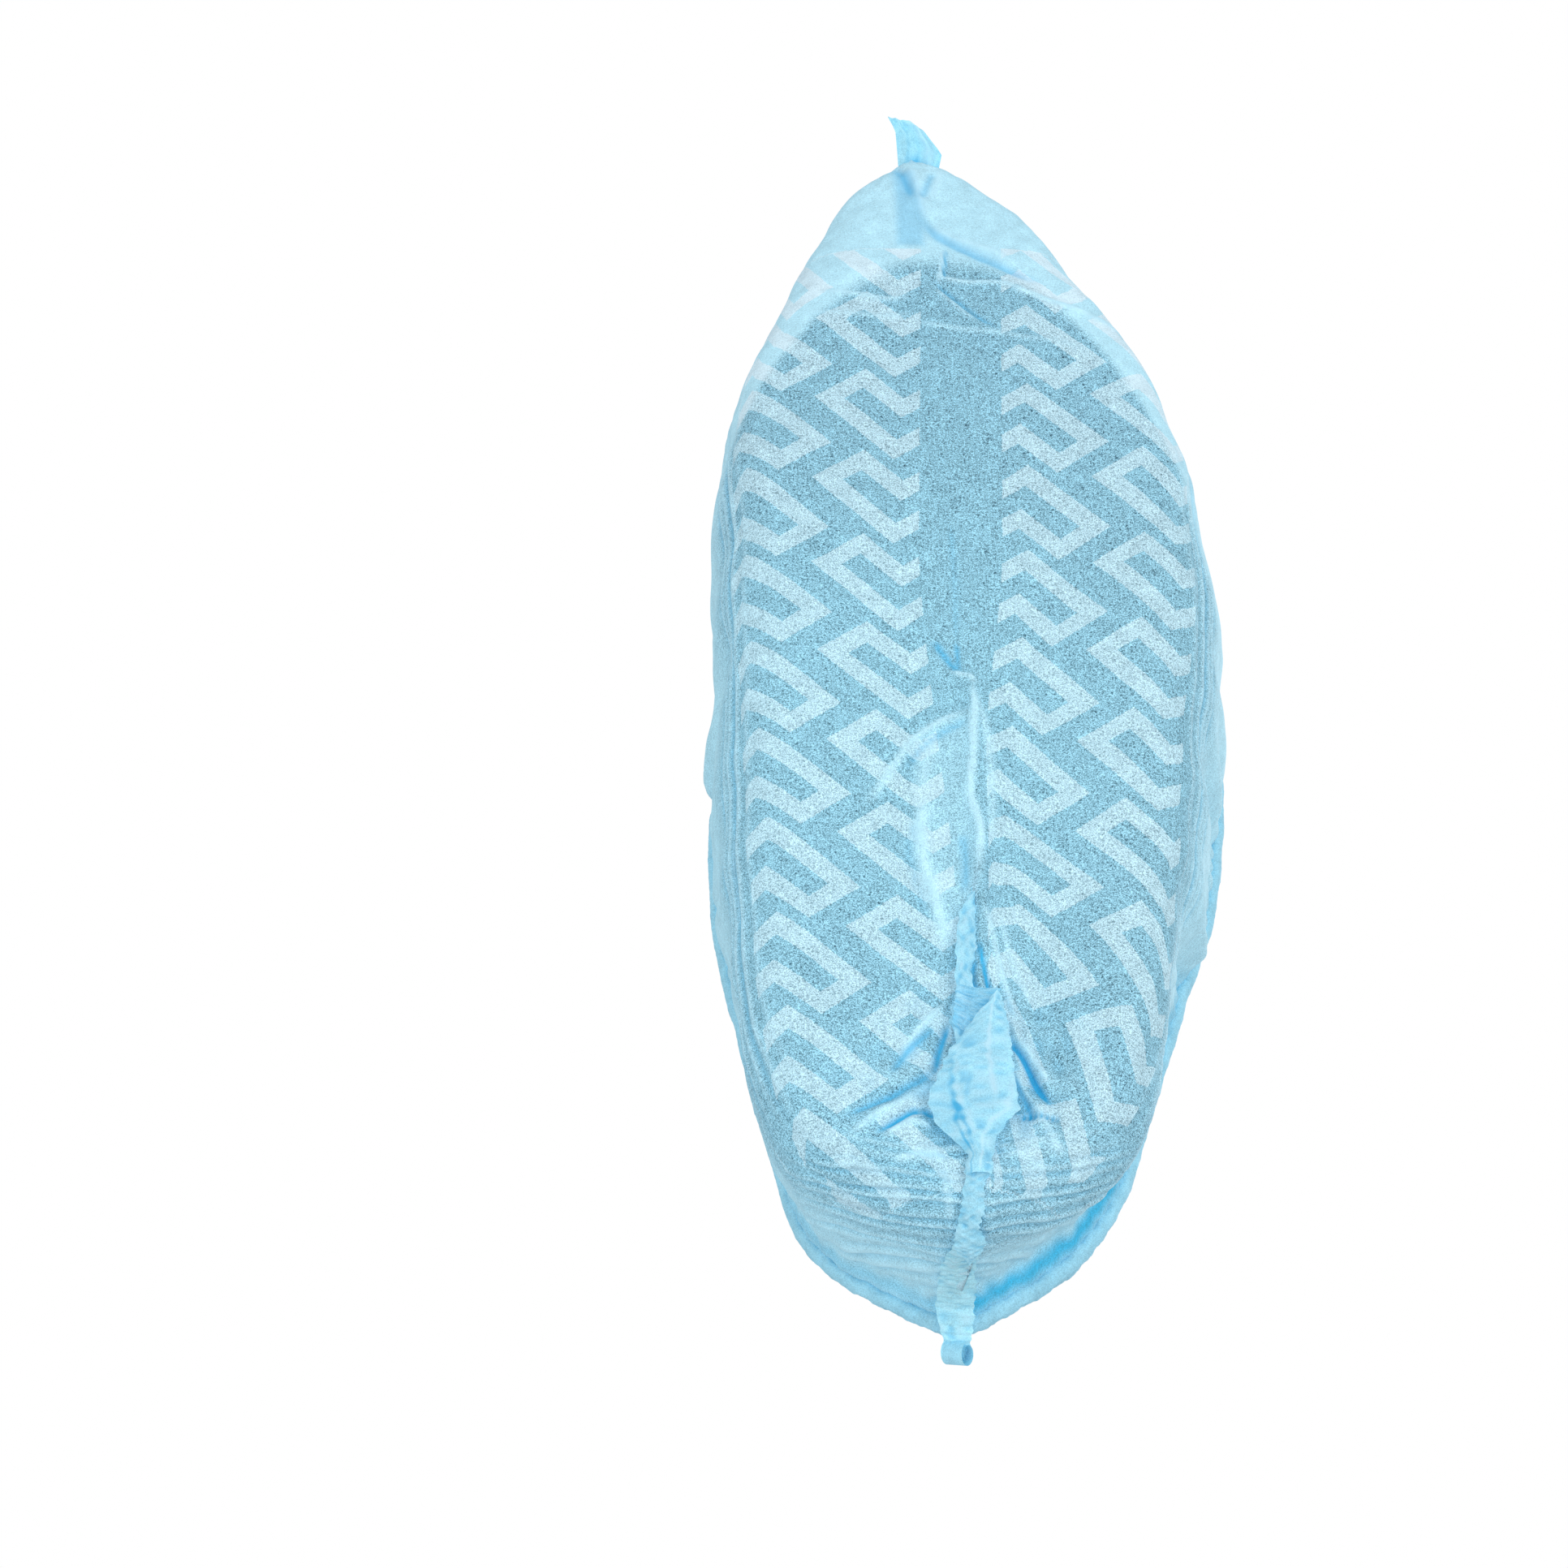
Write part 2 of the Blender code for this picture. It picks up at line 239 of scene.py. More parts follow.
def inside(corners, x, y, soft):
    """1 inside a polygon on the sole, 0 outside, with an edge as wide as soft."""
    corners = np.asarray(corners, float)
    odd = np.zeros(x.shape, bool)
    near = np.full(x.shape, 1e9)
    for start, end in zip(corners, np.roll(corners, -1, axis=0)):
        crosses = (start[1] > y) != (end[1] > y)
        rise = end[1] - start[1] if end[1] != start[1] else 1e-9
        odd ^= crosses & (x < (end[0] - start[0]) * (y - start[1]) / rise + start[0])
        near = np.minimum(near, distance_to([start, end], x, y)[0])
    return smoothstep(np.where(odd, near, -near), -soft / 2, soft / 2)


def soft_noise(cells_along, cells_across, seed):
    """Smooth chance values over the whole sheet, from -1 to 1 and cells_along by cells_across patches."""
    patches = np.random.default_rng(seed)
    coarse = patches.uniform(-1, 1, (cells_along + 1, cells_across + 1))
    rows = natural_spline(range(cells_along + 1), coarse, np.linspace(0, cells_along, ROWS))
    return natural_spline(range(cells_across + 1), rows.T, np.linspace(0, cells_across, COLUMNS)).T


print("the sheet faces down at the middle of the sole:", outward(grid)[ROWS // 2, MIDDLE].round(2))

# %% [markdown]
# ## The middle fold
# The sheet was folded along the middle of the sole before it was sewn. Towards the heel the fold still
# stands up as a sharp ridge, because there is more cloth than sole. It is a ridge of changing height.

# %% The middle fold
lift = np.zeros((ROWS, COLUMNS))  # how far the cloth is pushed out at each grid point
painted_fold_shade = np.zeros((ROWS, COLUMNS))  # painted shade, a deeper blue, in creases and folds and where the cloth lies double
painted_highlight_and_open_fibres = np.zeros((ROWS, COLUMNS))  # painted highlight on crests, paler also where a crease has opened the fibres
fold_x = X0 - keel_x
FOLD_HEIGHT = [(-60, 0), (-12, 0.2), (0, 1.8), (30, 2.6), (60, 3.4), (100, 2.6)]
FOLD_WIDTH, FOLD_SHARPNESS = 2.4, 1.3
pinch = curve_value(np.clip(Y0, -60, 100), FOLD_HEIGHT)
ridge = np.exp(-((np.abs(fold_x) / FOLD_WIDTH) ** FOLD_SHARPNESS))
lift += pinch * ridge * smoothstep(Y0, -14, 2) * under_sole
print("middle fold stands out", round(float(lift.max()), 1), "mm at most")

# %% [markdown]
# ## Creases on the sole
# The sole of a worn cover is crossed by creases: some beside the middle fold, many round the heel seam,
# and a few over the front edge of the shoe. Each has its own route, so each is one row of a table.

# %% Creases on the sole
RIDGE = [(2, -6), (3.2, 1.3), (3, 9), (3, 17), (2.3, 27), (2.6, 34), (4.4, 41), (4.4, 50), (4.2, 60)]
TOE_VALLEY = [(-10, -167), (-7.3, -159.5), (-4.1, -156.5), (4.2, -150.5), (13.8, -143.7), (23, -138.5)]
SOLE_CREASES = [
    # route on the sole, height, width, tone: below nought for a line of painted shade, above for a painted
    # highlight
    ([(-2.5, -56), (-1.6, -40), (-1.2, -28), (-1.0, -14)], 0.5, 0.9, -0.3),
    ([(-7, -18), (-3.5, -12), (-0.5, -7.5)], -0.9, 1.3, -0.8),
    ([(-1.2, -17), (-0.9, -12), (-0.2, -7.5)], -0.7, 0.9, -0.6),
    ([(-2, -9), (0, -6.6), (2.2, -6.1), (3.2, -3)], 0.9, 0.8, 0.9),
    (RIDGE, 0.9, 1.1, 1.1),
    ([(3.5, 0), (6, 11), (7, 21), (7.4, 32), (7, 41), (5, 49)], 0.5, 1.4, 0.55),
    ([(1.4, 4), (-6, 8.4), (-11, 12.7), (-15.6, 19.8), (-19, 26), (-24, 34)], 1.0, 1.2, 0.95),
    ([(2, 8), (-5, 11.5), (-10, 16.5), (-14, 23)], -0.8, 1.4, -0.45),
    ([(-6.6, 13), (-8.5, 22), (-10, 30)], 0.5, 1.6, 0.5),
    ([(-8, 30), (-10, 40), (-8.5, 54), (-5.5, 66), (-3, 80)], 0.9, 2.2, 0.8),
    ([(-11, 36), (-12.5, 46), (-10.5, 58), (-7, 70)], -0.4, 1.5, -0.2),
    ([(0, 42), (1, 52), (0.5, 62)], -0.5, 1.6, -0.45),
    ([(4.1, 75), (5.3, 83), (7.2, 93)], -1.6, 0.9, -1.2),
    ([(3.4, 80), (2.6, 84.4), (4.0, 91)], -1.0, 0.9, -1.0),
    ([(5.5, 64), (8, 76), (10.5, 88), (13, 99)], 0.8, 1.1, 0.7),
    ([(9, 66), (12, 80), (17, 94)], 0.5, 1.2, 0.45),
    ([(10.7, 101), (14.9, 108.6), (17.9, 116), (21.5, 122.5)], -2.0, 1.1, -1.5),
    ([(12.5, 101), (17, 108.5), (20.5, 116)], 0.9, 1.2, 0.7),
    ([(11.5, 112), (14.5, 119), (17, 126)], -0.9, 1.0, -0.7),
    ([(12.8, 123), (15.8, 123.8), (23.7, 125.6)], -1.2, 0.9, -0.9),
    ([(9, 110), (15, 118), (20, 128), (24, 137)], 0.8, 1.3, 0.5),
    ([(12, 128), (17, 131), (25, 133)], 0.5, 1.2, 0.45),
    ([(-3, 97), (-5, 104), (-6.4, 112)], -1.8, 1.2, -1.1),
    ([(-3.7, 92), (-8.4, 97), (-14.5, 110)], 1.1, 1.2, 0.9),
    ([(-6, 98), (-11, 103), (-17, 113)], -1.0, 1.3, -0.6),
    ([(-6, 110), (-15, 117), (-28, 125)], -1.5, 1.2, -0.7),
    ([(-5, 113), (-14, 120), (-27, 130)], 1.1, 1.5, 0.7),
    ([(-4.8, 124), (-10.7, 122.3), (-13.2, 123.8), (-20, 129.5)], -1.6, 1.1, -1.2),
    ([(-6, 127), (-12, 126), (-18, 131)], 0.9, 1.1, 0.8),
    ([(-3, 136), (-7, 134.5), (-16, 136)], 0.8, 1.1, 0.8),
    ([(-4.5, 138), (-3.2, 143), (-2, 147)], 0.5, 1.0, 0.7),
    ([(5, 130), (12, 134), (22, 138)], 0.6, 1.4, 0.3),
    # toe: a doubled band, a deep valley beside it and thin wrinkles over the shoe's edge
    ([(-14, -186), (-12.4, -178), (-11, -171), (-10.2, -164)], 1.5, 1.6, 0.85),
    (TOE_VALLEY, -1.7, 1.9, -0.5),
    ([(-10, -164), (-5.4, -159), (5, -153), (15, -146)], 1.3, 1.7, 0.6),
    ([(-8, -183), (-9.5, -177), (-11, -171)], -0.9, 1.4, -0.4),
    ([(-6, -185), (-7, -178), (-8.6, -172)], 0.6, 1.4, 0.5),
    ([(-17.5, -189), (-15, -180), (-12.6, -172)], -1.0, 1.6, -0.35),
    ([(-4.8, -153), (-5.2, -147), (-6, -139)], 0.9, 0.7, 0.9),
    ([(-4.2, -153), (-4.4, -147), (-5, -140)], -0.6, 0.7, -0.7),
    ([(-7, -140), (-0.3, -132.3), (5, -126), (10, -122)], -0.9, 0.9, -0.5),
    ([(-7, -138), (-1, -130.8), (4, -124.6)], 0.6, 0.8, 0.5),
    ([(-7.7, -143), (3, -139.6), (10.8, -138.8), (18, -135.4)], 0.7, 0.9, 0.7),
    ([(12, -138), (22, -132.6), (34, -128), (44, -123)], 0.8, 1.1, 0.85),
    ([(-38, -136.5), (-27, -135.4), (-18, -133.3), (-12, -135.6)], 0.7, 1.0, 0.7),
    ([(-42, -129), (-30, -128), (-19, -127), (-10, -129)], 0.5, 1.1, 0.45),
    ([(-14, -126), (2, -122), (20, -119), (38, -112)], 0.4, 1.2, 0.35),
]
# tone and width of a crease's painted shade and highlight, against those in the table
PAINTED_SHADE_TONE, PAINTED_SHADE_NARROWER = 1.1, 0.6
PAINTED_HIGHLIGHT_TONE, PAINTED_HIGHLIGHT_NARROWER = 1.25, 0.8
for route, height, width, tone in SOLE_CREASES:
    near, share = distance_to(route, X0, Y0)
    ends = smoothstep(share, 0.0, 0.15) * (1 - smoothstep(share, 0.75, 1.0))  # creases run out softly
    ends *= 1 - smoothstep(Z0, 12, 26)
    lift += height * ends * np.exp(-((near / width) ** 1.5))
    # a negative tone paints shade along the crease, a positive one paints a highlight
    if tone < 0:
        painted_fold_shade -= PAINTED_SHADE_TONE * tone * ends * np.exp(-((near / (PAINTED_SHADE_NARROWER * width)) ** 2))
    else:
        painted_highlight_and_open_fibres += PAINTED_HIGHLIGHT_TONE * tone * ends * np.exp(-((near / (PAINTED_HIGHLIGHT_NARROWER * width)) ** 2))
print(len(SOLE_CREASES), "creases on the sole")

# %% [markdown]
# ## Double cloth and crumples
# In two places the cloth lies over itself, and round the start of the heel seam it is crumpled without
# any order. The first are outlines filled with a low step, the second is smooth chance relief.

# %% Doubled places and crumples
VEIL = [
    (2, 4), (-6, 8.4), (-11, 12.7), (-12, 24), (-11, 39), (-9, 55),
    (-5, 70), (0, 74), (4, 60), (4.4, 40), (2.4, 30), (3, 10),
]
veil = inside(VEIL, X0, Y0, 1.6) * under_sole  # the middle fold lies over to one side here
VEIL_STEP = 0.9
lift += VEIL_STEP * veil
# the corner of the sheet is tucked in here and lies double
TOE_DOUBLE = [
    (-18.5, -187), (-13, -182), (-11.1, -172), (-10, -164.6),
    (-10, -154.5), (-17, -154.5), (-17.4, -170),
# the corner of the sheet is tucked in here and lies double, painted a deeper blue
]
painted_fold_shade += 0.4 * inside(TOE_DOUBLE, X0, Y0, 3.0)
CRUMPLE_MIDDLE, CRUMPLE_REACH, CRUMPLE_HEIGHT = (3, 113), (22, 19), 1.3
near_heel_seam = bump(X0, CRUMPLE_MIDDLE[0], CRUMPLE_REACH[0]) * under_sole
near_heel_seam *= bump(Y0, CRUMPLE_MIDDLE[1], CRUMPLE_REACH[1])
crumple = soft_noise(64, 74, 11)
lift += CRUMPLE_HEIGHT * near_heel_seam * crumple
# painted shade in the hollows, painted highlight on the crests, and the fold that lies over is painted a
# little paler too
painted_fold_shade += 0.5 * near_heel_seam * np.clip(-crumple, 0, 1)
painted_highlight_and_open_fibres += 0.45 * near_heel_seam * np.clip(crumple, 0, 1) + 0.12 * veil
print("sole folds stand out", round(float(lift.max()), 1), "mm at most")

# %% [markdown]
# ## Arcs round the heel
# The end of the heel pulls the cloth into fine arcs that run round it, 3 to 4 mm apart. They are two
# waves of unlike length over the distance from the heel, so that they never look ruled.

# %% Arcs round the heel
heel_round = smoothstep(Y0, 122, 140) * (1 - smoothstep(Z0, 38, 52))
arc_place = np.hypot(X0 * 0.72, Y0 - 60) + Z0 * 0.8 + 1.3 * soft_noise(22, 30, 5)
ARC_SPACING, FINE_SPACING, ARC_HEIGHT = 3.9, 2.7, 0.36
fine_place = arc_place / FINE_SPACING + 0.3 * soft_noise(30, 30, 6)
arcs = np.sin(2 * math.pi * arc_place / ARC_SPACING) + 0.7 * np.sin(2 * math.pi * fine_place)
lift += ARC_HEIGHT * heel_round * arcs
# painted highlight on the arcs' crests and painted shade in their troughs
painted_highlight_and_open_fibres += 0.42 * heel_round * np.clip(arcs, 0, 2)
painted_fold_shade += 0.13 * heel_round * np.clip(-arcs, 0, 2)
print("heel arcs:", ARC_SPACING, "and", FINE_SPACING, "mm apart")

# %% [markdown]
# ## Pack folds
# The side walls have a few thin lines beside the edge of the sole, where the cloth was once folded flat
# in its pack. They run along the whole foot, so they follow the distance from the middle fold.

# %% Pack folds beside the sole
SOLE_EDGE = 62  # from the middle fold to the edge of the sole, over the cloth
edge_at = SOLE_EDGE + 0.6 * soft_noise(12, 4, 3)
along_middle = smoothstep(Y0, -120, -70) * (1 - smoothstep(Y0, 95, 130))
# each: place past the edge of the sole, height, and tone as for the creases, which paints shade or a
# highlight
PACK_FOLDS = [
    (-4.5, 0.3, 0.4), (0, 0.6, 0.9), (2.6, -0.4, -0.4),
    (4.6, 0.5, 0.8), (8.4, 0.5, 0.8), (10.2, -0.4, -0.4),
]
PACK_FOLD_WIDTH = 0.8
for offset, height, tone in PACK_FOLDS:
    near = np.abs(np.abs(from_fold) - edge_at - offset) / PACK_FOLD_WIDTH
    line = np.exp(-(near**1.4)) * along_middle
    lift += height * line
    # painted highlight along a raised fold, painted shade along a sunk one
    if tone < 0:
        painted_fold_shade -= tone * line
    else:
        painted_highlight_and_open_fibres += tone * line
print(len(PACK_FOLDS), "pack folds on each side")

# %% [markdown]
# ## Gathers
# The elastic is shorter than the edge it is sewn to, so the edge is pushed into ruffles about 3 to 6 mm
# apart. Each small ruffle dies out within a centimetre or two, and a few run on as long soft pleats.

# %% Gathers below the hem
chance = np.random.default_rng(21)
hem_place = np.where(side < 0, -from_toe[:, :1], from_toe[:, -1:])
gather = np.zeros((ROWS, COLUMNS))
# how far down the small ruffles run, in millimetres, and how often each length comes
RUFFLE_REACH = [8, 12, 19, 32]
RUFFLE_SHARE = [0.32, 0.3, 0.24, 0.14]
spot, sign = -float(from_toe[-1, 0]), 1
while spot < from_toe[-1, -1]:
    spread = chance.uniform(1.3, 2.6)
    reach = chance.choice(RUFFLE_REACH, p=RUFFLE_SHARE)
    height = chance.uniform(0.7, 1.7) * (1 + reach / 26)
    slant = chance.uniform(-0.25, 0.25)
    width = spread * (1 + below_hem / 22)
    fade = np.exp(-((below_hem / reach) ** 1.4)) * (0.3 + 0.7 * smoothstep(below_hem, 1, 8))
    gather += sign * height * np.exp(-(((hem_place - spot - slant * below_hem) / width) ** 2)) * fade
    spot += spread * chance.uniform(1.3, 2.0)
    sign = -sign
gather *= 1 - 0.6 * smoothstep(Y0, 40, 100)  # the heel is pulled smooth
lift += gather * smoothstep(in_seams, 0.0, 0.12)
print("ruffles stand out", round(float(np.abs(gather).max()), 1), "mm at most")

# %% [markdown]
# ## Long pleats
# Where the elastic pulls hardest, over the toe, the cloth also hangs in long soft pleats. They get longer
# and higher towards the toe and all but vanish at the sides, where the cloth is pulled straight.

# %% Long pleats and the soft unevenness of the whole sheet
LONG_PLEATS = 20  # on each side
for half in (-1, 1):
    for k in range(LONG_PLEATS):
        middle = (k + chance.uniform(0.2, 0.8)) / LONG_PLEATS
        at = middle * from_toe[-1, 0 if half < 0 else -1] * half
        towards_toe = 1 - middle
        reach = 26 + 42 * towards_toe + chance.uniform(-6, 8)
        height = (1.4 + 2.6 * towards_toe) * chance.uniform(0.5, 1.2)
        height *= 1 - 0.65 * bump(middle, 0.5, 0.22)  # the sides are pulled straight
        lean = chance.uniform(-0.1, 0.25) * half
        width = 2.3 + 0.09 * below_hem
        pleat = np.exp(-(((hem_place - at - lean * below_hem) / width) ** 2))
        pleat -= 0.5 * np.exp(-(((hem_place - at - lean * below_hem - 1.6 * width) / width) ** 2))
        fade = smoothstep(below_hem, 0, 6) * np.exp(-((below_hem / reach) ** 2))
        fade *= 1 - 0.6 * smoothstep(Y0, 50, 110)
        lift += height * pleat * fade * (side == half) * smoothstep(in_seams, 0, 0.2)
SOFT_SWELL, SMALL_SWELL = 0.45, 0.22
lift += SOFT_SWELL * soft_noise(26, 22, 8) + SMALL_SWELL * soft_noise(70, 50, 9)
lift *= smoothstep(in_seams, -0.02, 0.06)
print("all folds stand out", round(float(np.abs(lift).max()), 1), "mm at most")

# %% [markdown]
# ## Uneven sides
# Below the hem the elastic draws the sides of the heel inwards, and elsewhere the cloth bags out or is
# pulled in. These are broad soft swells, a few centimetres long, which shape the outline of the cover.

# %% Draw the cloth in and out, then push it along its normals
DRAWN_IN, DRAWN_IN_MORE_RIGHT = 4.4, 1.2
heel_quarter = smoothstep(Y0, 30, 90) * smoothstep(Z0, 7, 30) * smoothstep(below_hem, 0.5, 9)
lift -= heel_quarter * (DRAWN_IN + DRAWN_IN_MORE_RIGHT * side)
up_side = smoothstep(Z0, 3, 18)
# the worn cloth is not even: left or right half, place along it, reach, and how far it stands out
UNEVEN = [
    (-1, -28, 14, -3.0), (-1, 32, 20, 0.5), (-1, -145, 25, 1.7),
    (1, -84, 18, -3.4), (1, -128, 28, -2.8), (1, 50, 28, -1.6),
]
for half, middle, width, out in UNEVEN:
    lift += out * bump(Y0, middle, width) * up_side * (side == half)
TIP_FULLNESS = 2.2  # the empty tip of the toe is blown out a little
lift += TIP_FULLNESS * bump(Y0, -184, 9) * smoothstep(in_seams, 0.02, 0.3)
normals = outward(grid)
cloth_points = grid + normals * lift[:, :, None]
# the two halves meet in the end seams
cloth_points[0, :MIDDLE] = cloth_points[0, :MIDDLE:-1]
cloth_points[-1, :MIDDLE] = cloth_points[-1, :MIDDLE:-1]
print("cloth spans", np.round(np.ptp(cloth_points.reshape(-1, 3), axis=0), 1), "mm")


# %% [markdown]
# ## Meshes from grids
# Every piece here is a grid of points bent into shape. One function turns such a grid into a mesh and keeps
# named places on it, as UV maps, for the patterns. The two halves of the sheet share their points in the
# end seams, which closes the cover there.

# %% Grid to mesh
def faces_places(rows, columns, u, v):
    """Each face's own corners on the sheet, so that a welded seam keeps both its sides."""
    index = np.arange(rows * columns).reshape(rows, columns)
    corners = np.stack([index[:-1, :-1], index[1:, :-1], index[1:, 1:], index[:-1, 1:]], axis=-1).reshape(-1)
    return np.stack([u.ravel()[corners], v.ravel()[corners]], axis=1)


def drop_loose_points(thing):
    """Deletes the points that the welded seams have left without a face."""
    used = np.zeros(len(thing.data.vertices), bool)
    corner = np.empty(len(thing.data.loops), np.int32)
    thing.data.loops.foreach_get("vertex_index", corner)
    used[corner] = True
    work = bmesh.new()
    work.from_mesh(thing.data)
    work.verts.ensure_lookup_table()
    bmesh.ops.delete(work, geom=[work.verts[i] for i in np.flatnonzero(~used)], context="VERTS")
    work.to_mesh(thing.data)
    work.free()


def make_piece(name, points, maps, loop=False, welded_ends=False):
    """A smooth mesh from a grid of points in millimetres; maps holds UV maps as {name: (u grid, v grid)}."""
    rows, columns = points.shape[:2]
    index = np.arange(rows * columns).reshape(rows, columns)
    if welded_ends:
        for row in (0, -1):
            index[row, columns // 2 + 1 :] = index[row, : columns // 2][::-1]
    here = index if loop else index[:-1]
    ahead = np.roll(index, -1, axis=0) if loop else index[1:]
    faces = np.stack([here[:, :-1], ahead[:, :-1], ahead[:, 1:], here[:, 1:]], axis=-1).reshape(-1, 4)
    mesh = bpy.data.meshes.new(name)
    mesh.from_pydata((points.reshape(-1, 3) * MM).tolist(), [], faces.tolist())
    mesh.update()
    corner = np.empty(len(mesh.loops), np.int32)
    mesh.loops.foreach_get("vertex_index", corner)
    for map_name, (u, v) in maps.items():
        layer = mesh.uv_layers.new(name=map_name)
        if welded_ends:
            flat = faces_places(rows, columns, u, v)
        else:
            flat = np.stack([u.ravel()[corner], v.ravel()[corner]], axis=1)
        layer.data.foreach_set("uv", flat.ravel().astype(np.float32))
    mesh.shade_smooth()
    made = bpy.data.objects.new(name, mesh)
    bpy.context.scene.collection.objects.link(made)
    if welded_ends:
        drop_loose_points(made)
    return made


print("a grid of", ROWS, "by", COLUMNS, "points makes", (ROWS - 1) * (COLUMNS - 1), "four-sided faces")

# %% [markdown]
# ## Where the print lies
# The anti-slip print is laid on the flat sheet before the cover is sewn. Under the heel the cloth is pulled
# into the middle fold, so the print moves in with it. A place on the print is therefore the distance from
# the middle plus what the fold has swallowed.

# %% Places on the print and on the cloth
PRINT_ENDS = (-153.0, 143.0)  # toe end and heel end
PRINT_HALF_WIDTH = 61.5
PRINT_TOP = 14.0  # how far it comes up the walls
NOWHERE = 0.0  # the strip between the bands, which is bare
# width of cloth in the middle fold on each side, by the place along the foot
SWALLOWED = [
    (-200, 0), (-60, 0), (-40, 0.3), (-12, 2.4), (15, 5),
    (45, 8.2), (75, 10.8), (105, 15), (130, 18.5), (170, 22),
]
swallowed = np.maximum(curve_value(Y0, SWALLOWED), 0) * smoothstep(Y0, -60, -30)
swallowed = swallowed * smoothstep(np.abs(X0 - keel_x), 0, 3)
up_the_wall = np.maximum(Z0 - 2, 0)
print_x = X0 + np.sign(X0 - keel_x) * (swallowed + up_the_wall)
# on the right of the heel the cloth is drawn towards the flap, which turns the print clockwise
HEEL_TURN = math.radians(24)
TURN_ABOUT = (36.0, 112.0)
turn = HEEL_TURN * smoothstep(Y0, 25, 125) * smoothstep(X0 - keel_x, 0, 8)
from_x, from_y = print_x - TURN_ABOUT[0], Y0 - TURN_ABOUT[1]
turned_x = from_x * np.cos(turn) + from_y * np.sin(turn) + TURN_ABOUT[0]
turned_y = from_y * np.cos(turn) - from_x * np.sin(turn) + TURN_ABOUT[1]
off_print = np.abs(X0) + up_the_wall > PRINT_HALF_WIDTH
off_print |= Z0 > PRINT_TOP
off_print |= (Y0 < PRINT_ENDS[0]) | (Y0 > PRINT_ENDS[1])
print_x = np.where(off_print, NOWHERE, turned_x)
print("print covers", round(100 * float((~off_print).mean())), "per cent of the sheet")

# %% [markdown]
# ## Where shade and glow are painted
# Thin cloth shows what is behind it. The cover here is empty, so the shade of a shoe behind the sole is
# painted: there the gaps between its fibres are painted dark; towards the toe, where it is empty, a glow
# is painted. Below the hem at the heel a band of painted shade lies in the valley between wall and hem.
# Both are given to the mesh as soft values from 0 to 1, which the material reads, and the sheet is then
# made.

# %% Painted shade of the shoe and of the rim, and the sheet itself
cloth_u, cloth_v = from_fold, from_toe - from_toe[ROWS // 2][None, :]
# tip of the sole that the cloth lies on, and its roundness
SHOE_TOE_Y, SHOE_TOE_X, TOE_CURVE = -150, -5, 0.02
toe_of_shoe = SHOE_TOE_Y + TOE_CURVE * (X0 - SHOE_TOE_X) ** 2
soft_edge = 5 + 1.4 * np.maximum(Z0, 0)
# painted shade of a shoe behind the sole, fading up the walls and where the fold lies over
painted_shoe_shade = smoothstep((Y0 - toe_of_shoe + 2) / (soft_edge + 2), 0, 1)
painted_shoe_shade *= 1 - 0.85 * smoothstep(Z0, 4, 34)
painted_shoe_shade *= 1 - 0.3 * veil
PAINTED_RIM_SHADE_AT, PAINTED_RIM_SHADE_WIDTH = 4.5, 2.4  # millimetres below the hem
# painted shade in the valley between the wall and the hem, over the heel and stronger on the right
painted_rim_shade = 0.85 * bump(below_hem, PAINTED_RIM_SHADE_AT, PAINTED_RIM_SHADE_WIDTH) * smoothstep(Y0, 20, 100)
painted_rim_shade *= 0.8 + 0.35 * side
MOST_MARKED = 1.3  # the strongest crease
cover = make_piece(
    "cover_sheet",
    cloth_points,
    {
        "print": (print_x * MM, turned_y * MM),
        "cloth": (cloth_u * MM, cloth_v * MM),
        "shade": (painted_shoe_shade, painted_rim_shade),
        "marks": (np.clip(painted_fold_shade, 0, MOST_MARKED), np.clip(painted_highlight_and_open_fibres, 0, MOST_MARKED)),
    },
    welded_ends=True,
)
print("cover_sheet:", len(cover.data.polygons), "faces")

# %% [markdown]
# ## The rolled hem
# The edge of the sheet is turned over an elastic thread. It looks like a thin cord of cloth, pinched every
# 3 mm. It is a closed ring whose section is an oval; the pinches and a slight wobble are worked into its
# points, because their outline shows against the light.

# %% Build the hem
HEM_HALF_WIDTH, HEM_HALF_HEIGHT = 1.9, 2.9
HEM_SIDES = 18
HEM_PITCH = 3.1  # from pinch to pinch
HEM_STATIONS = 1700  # sections round the ring
rim = np.vstack([cloth_points[:, -1], cloth_points[-2:0:-1, 0]])
inner = np.vstack([cloth_points[:, -6], cloth_points[-2:0:-1, 5]])
rim_length = np.r_[0, np.cumsum(np.linalg.norm(np.diff(rim, axis=0), axis=1))]
whole = rim_length[-1] + np.linalg.norm(rim[0] - rim[-1])
stations = np.linspace(0, whole, HEM_STATIONS, endpoint=False)
closed = np.vstack([rim, rim[:1]])
closed_inner = np.vstack([inner, inner[:1]])
marks = np.r_[rim_length, whole]
hem_line = np.stack([np.interp(stations, marks, closed[:, k]) for k in range(3)], axis=1)
hem_inner = np.stack([np.interp(stations, marks, closed_inner[:, k]) for k in range(3)], axis=1)
print("the hem is", round(whole), "mm long")


def eased(values, reach):
    """Averages a closed line's values with their neighbours, reach of them on each side."""
    window = np.hanning(2 * reach + 3)[1:-1]
    window /= window.sum()
    padded = np.concatenate([values[-reach:], values, values[:reach]])
    return np.stack([np.convolve(padded[:, k], window, "valid") for k in range(values.shape[1])], axis=1)


# %% [markdown]
# ## Section of the hem
# The oval stands nearly upright, in line with the wall below it. Its size swells and shrinks along the
# ring in two unlike rhythms, as a thread pinches cloth. At the heel it stands out a little further.

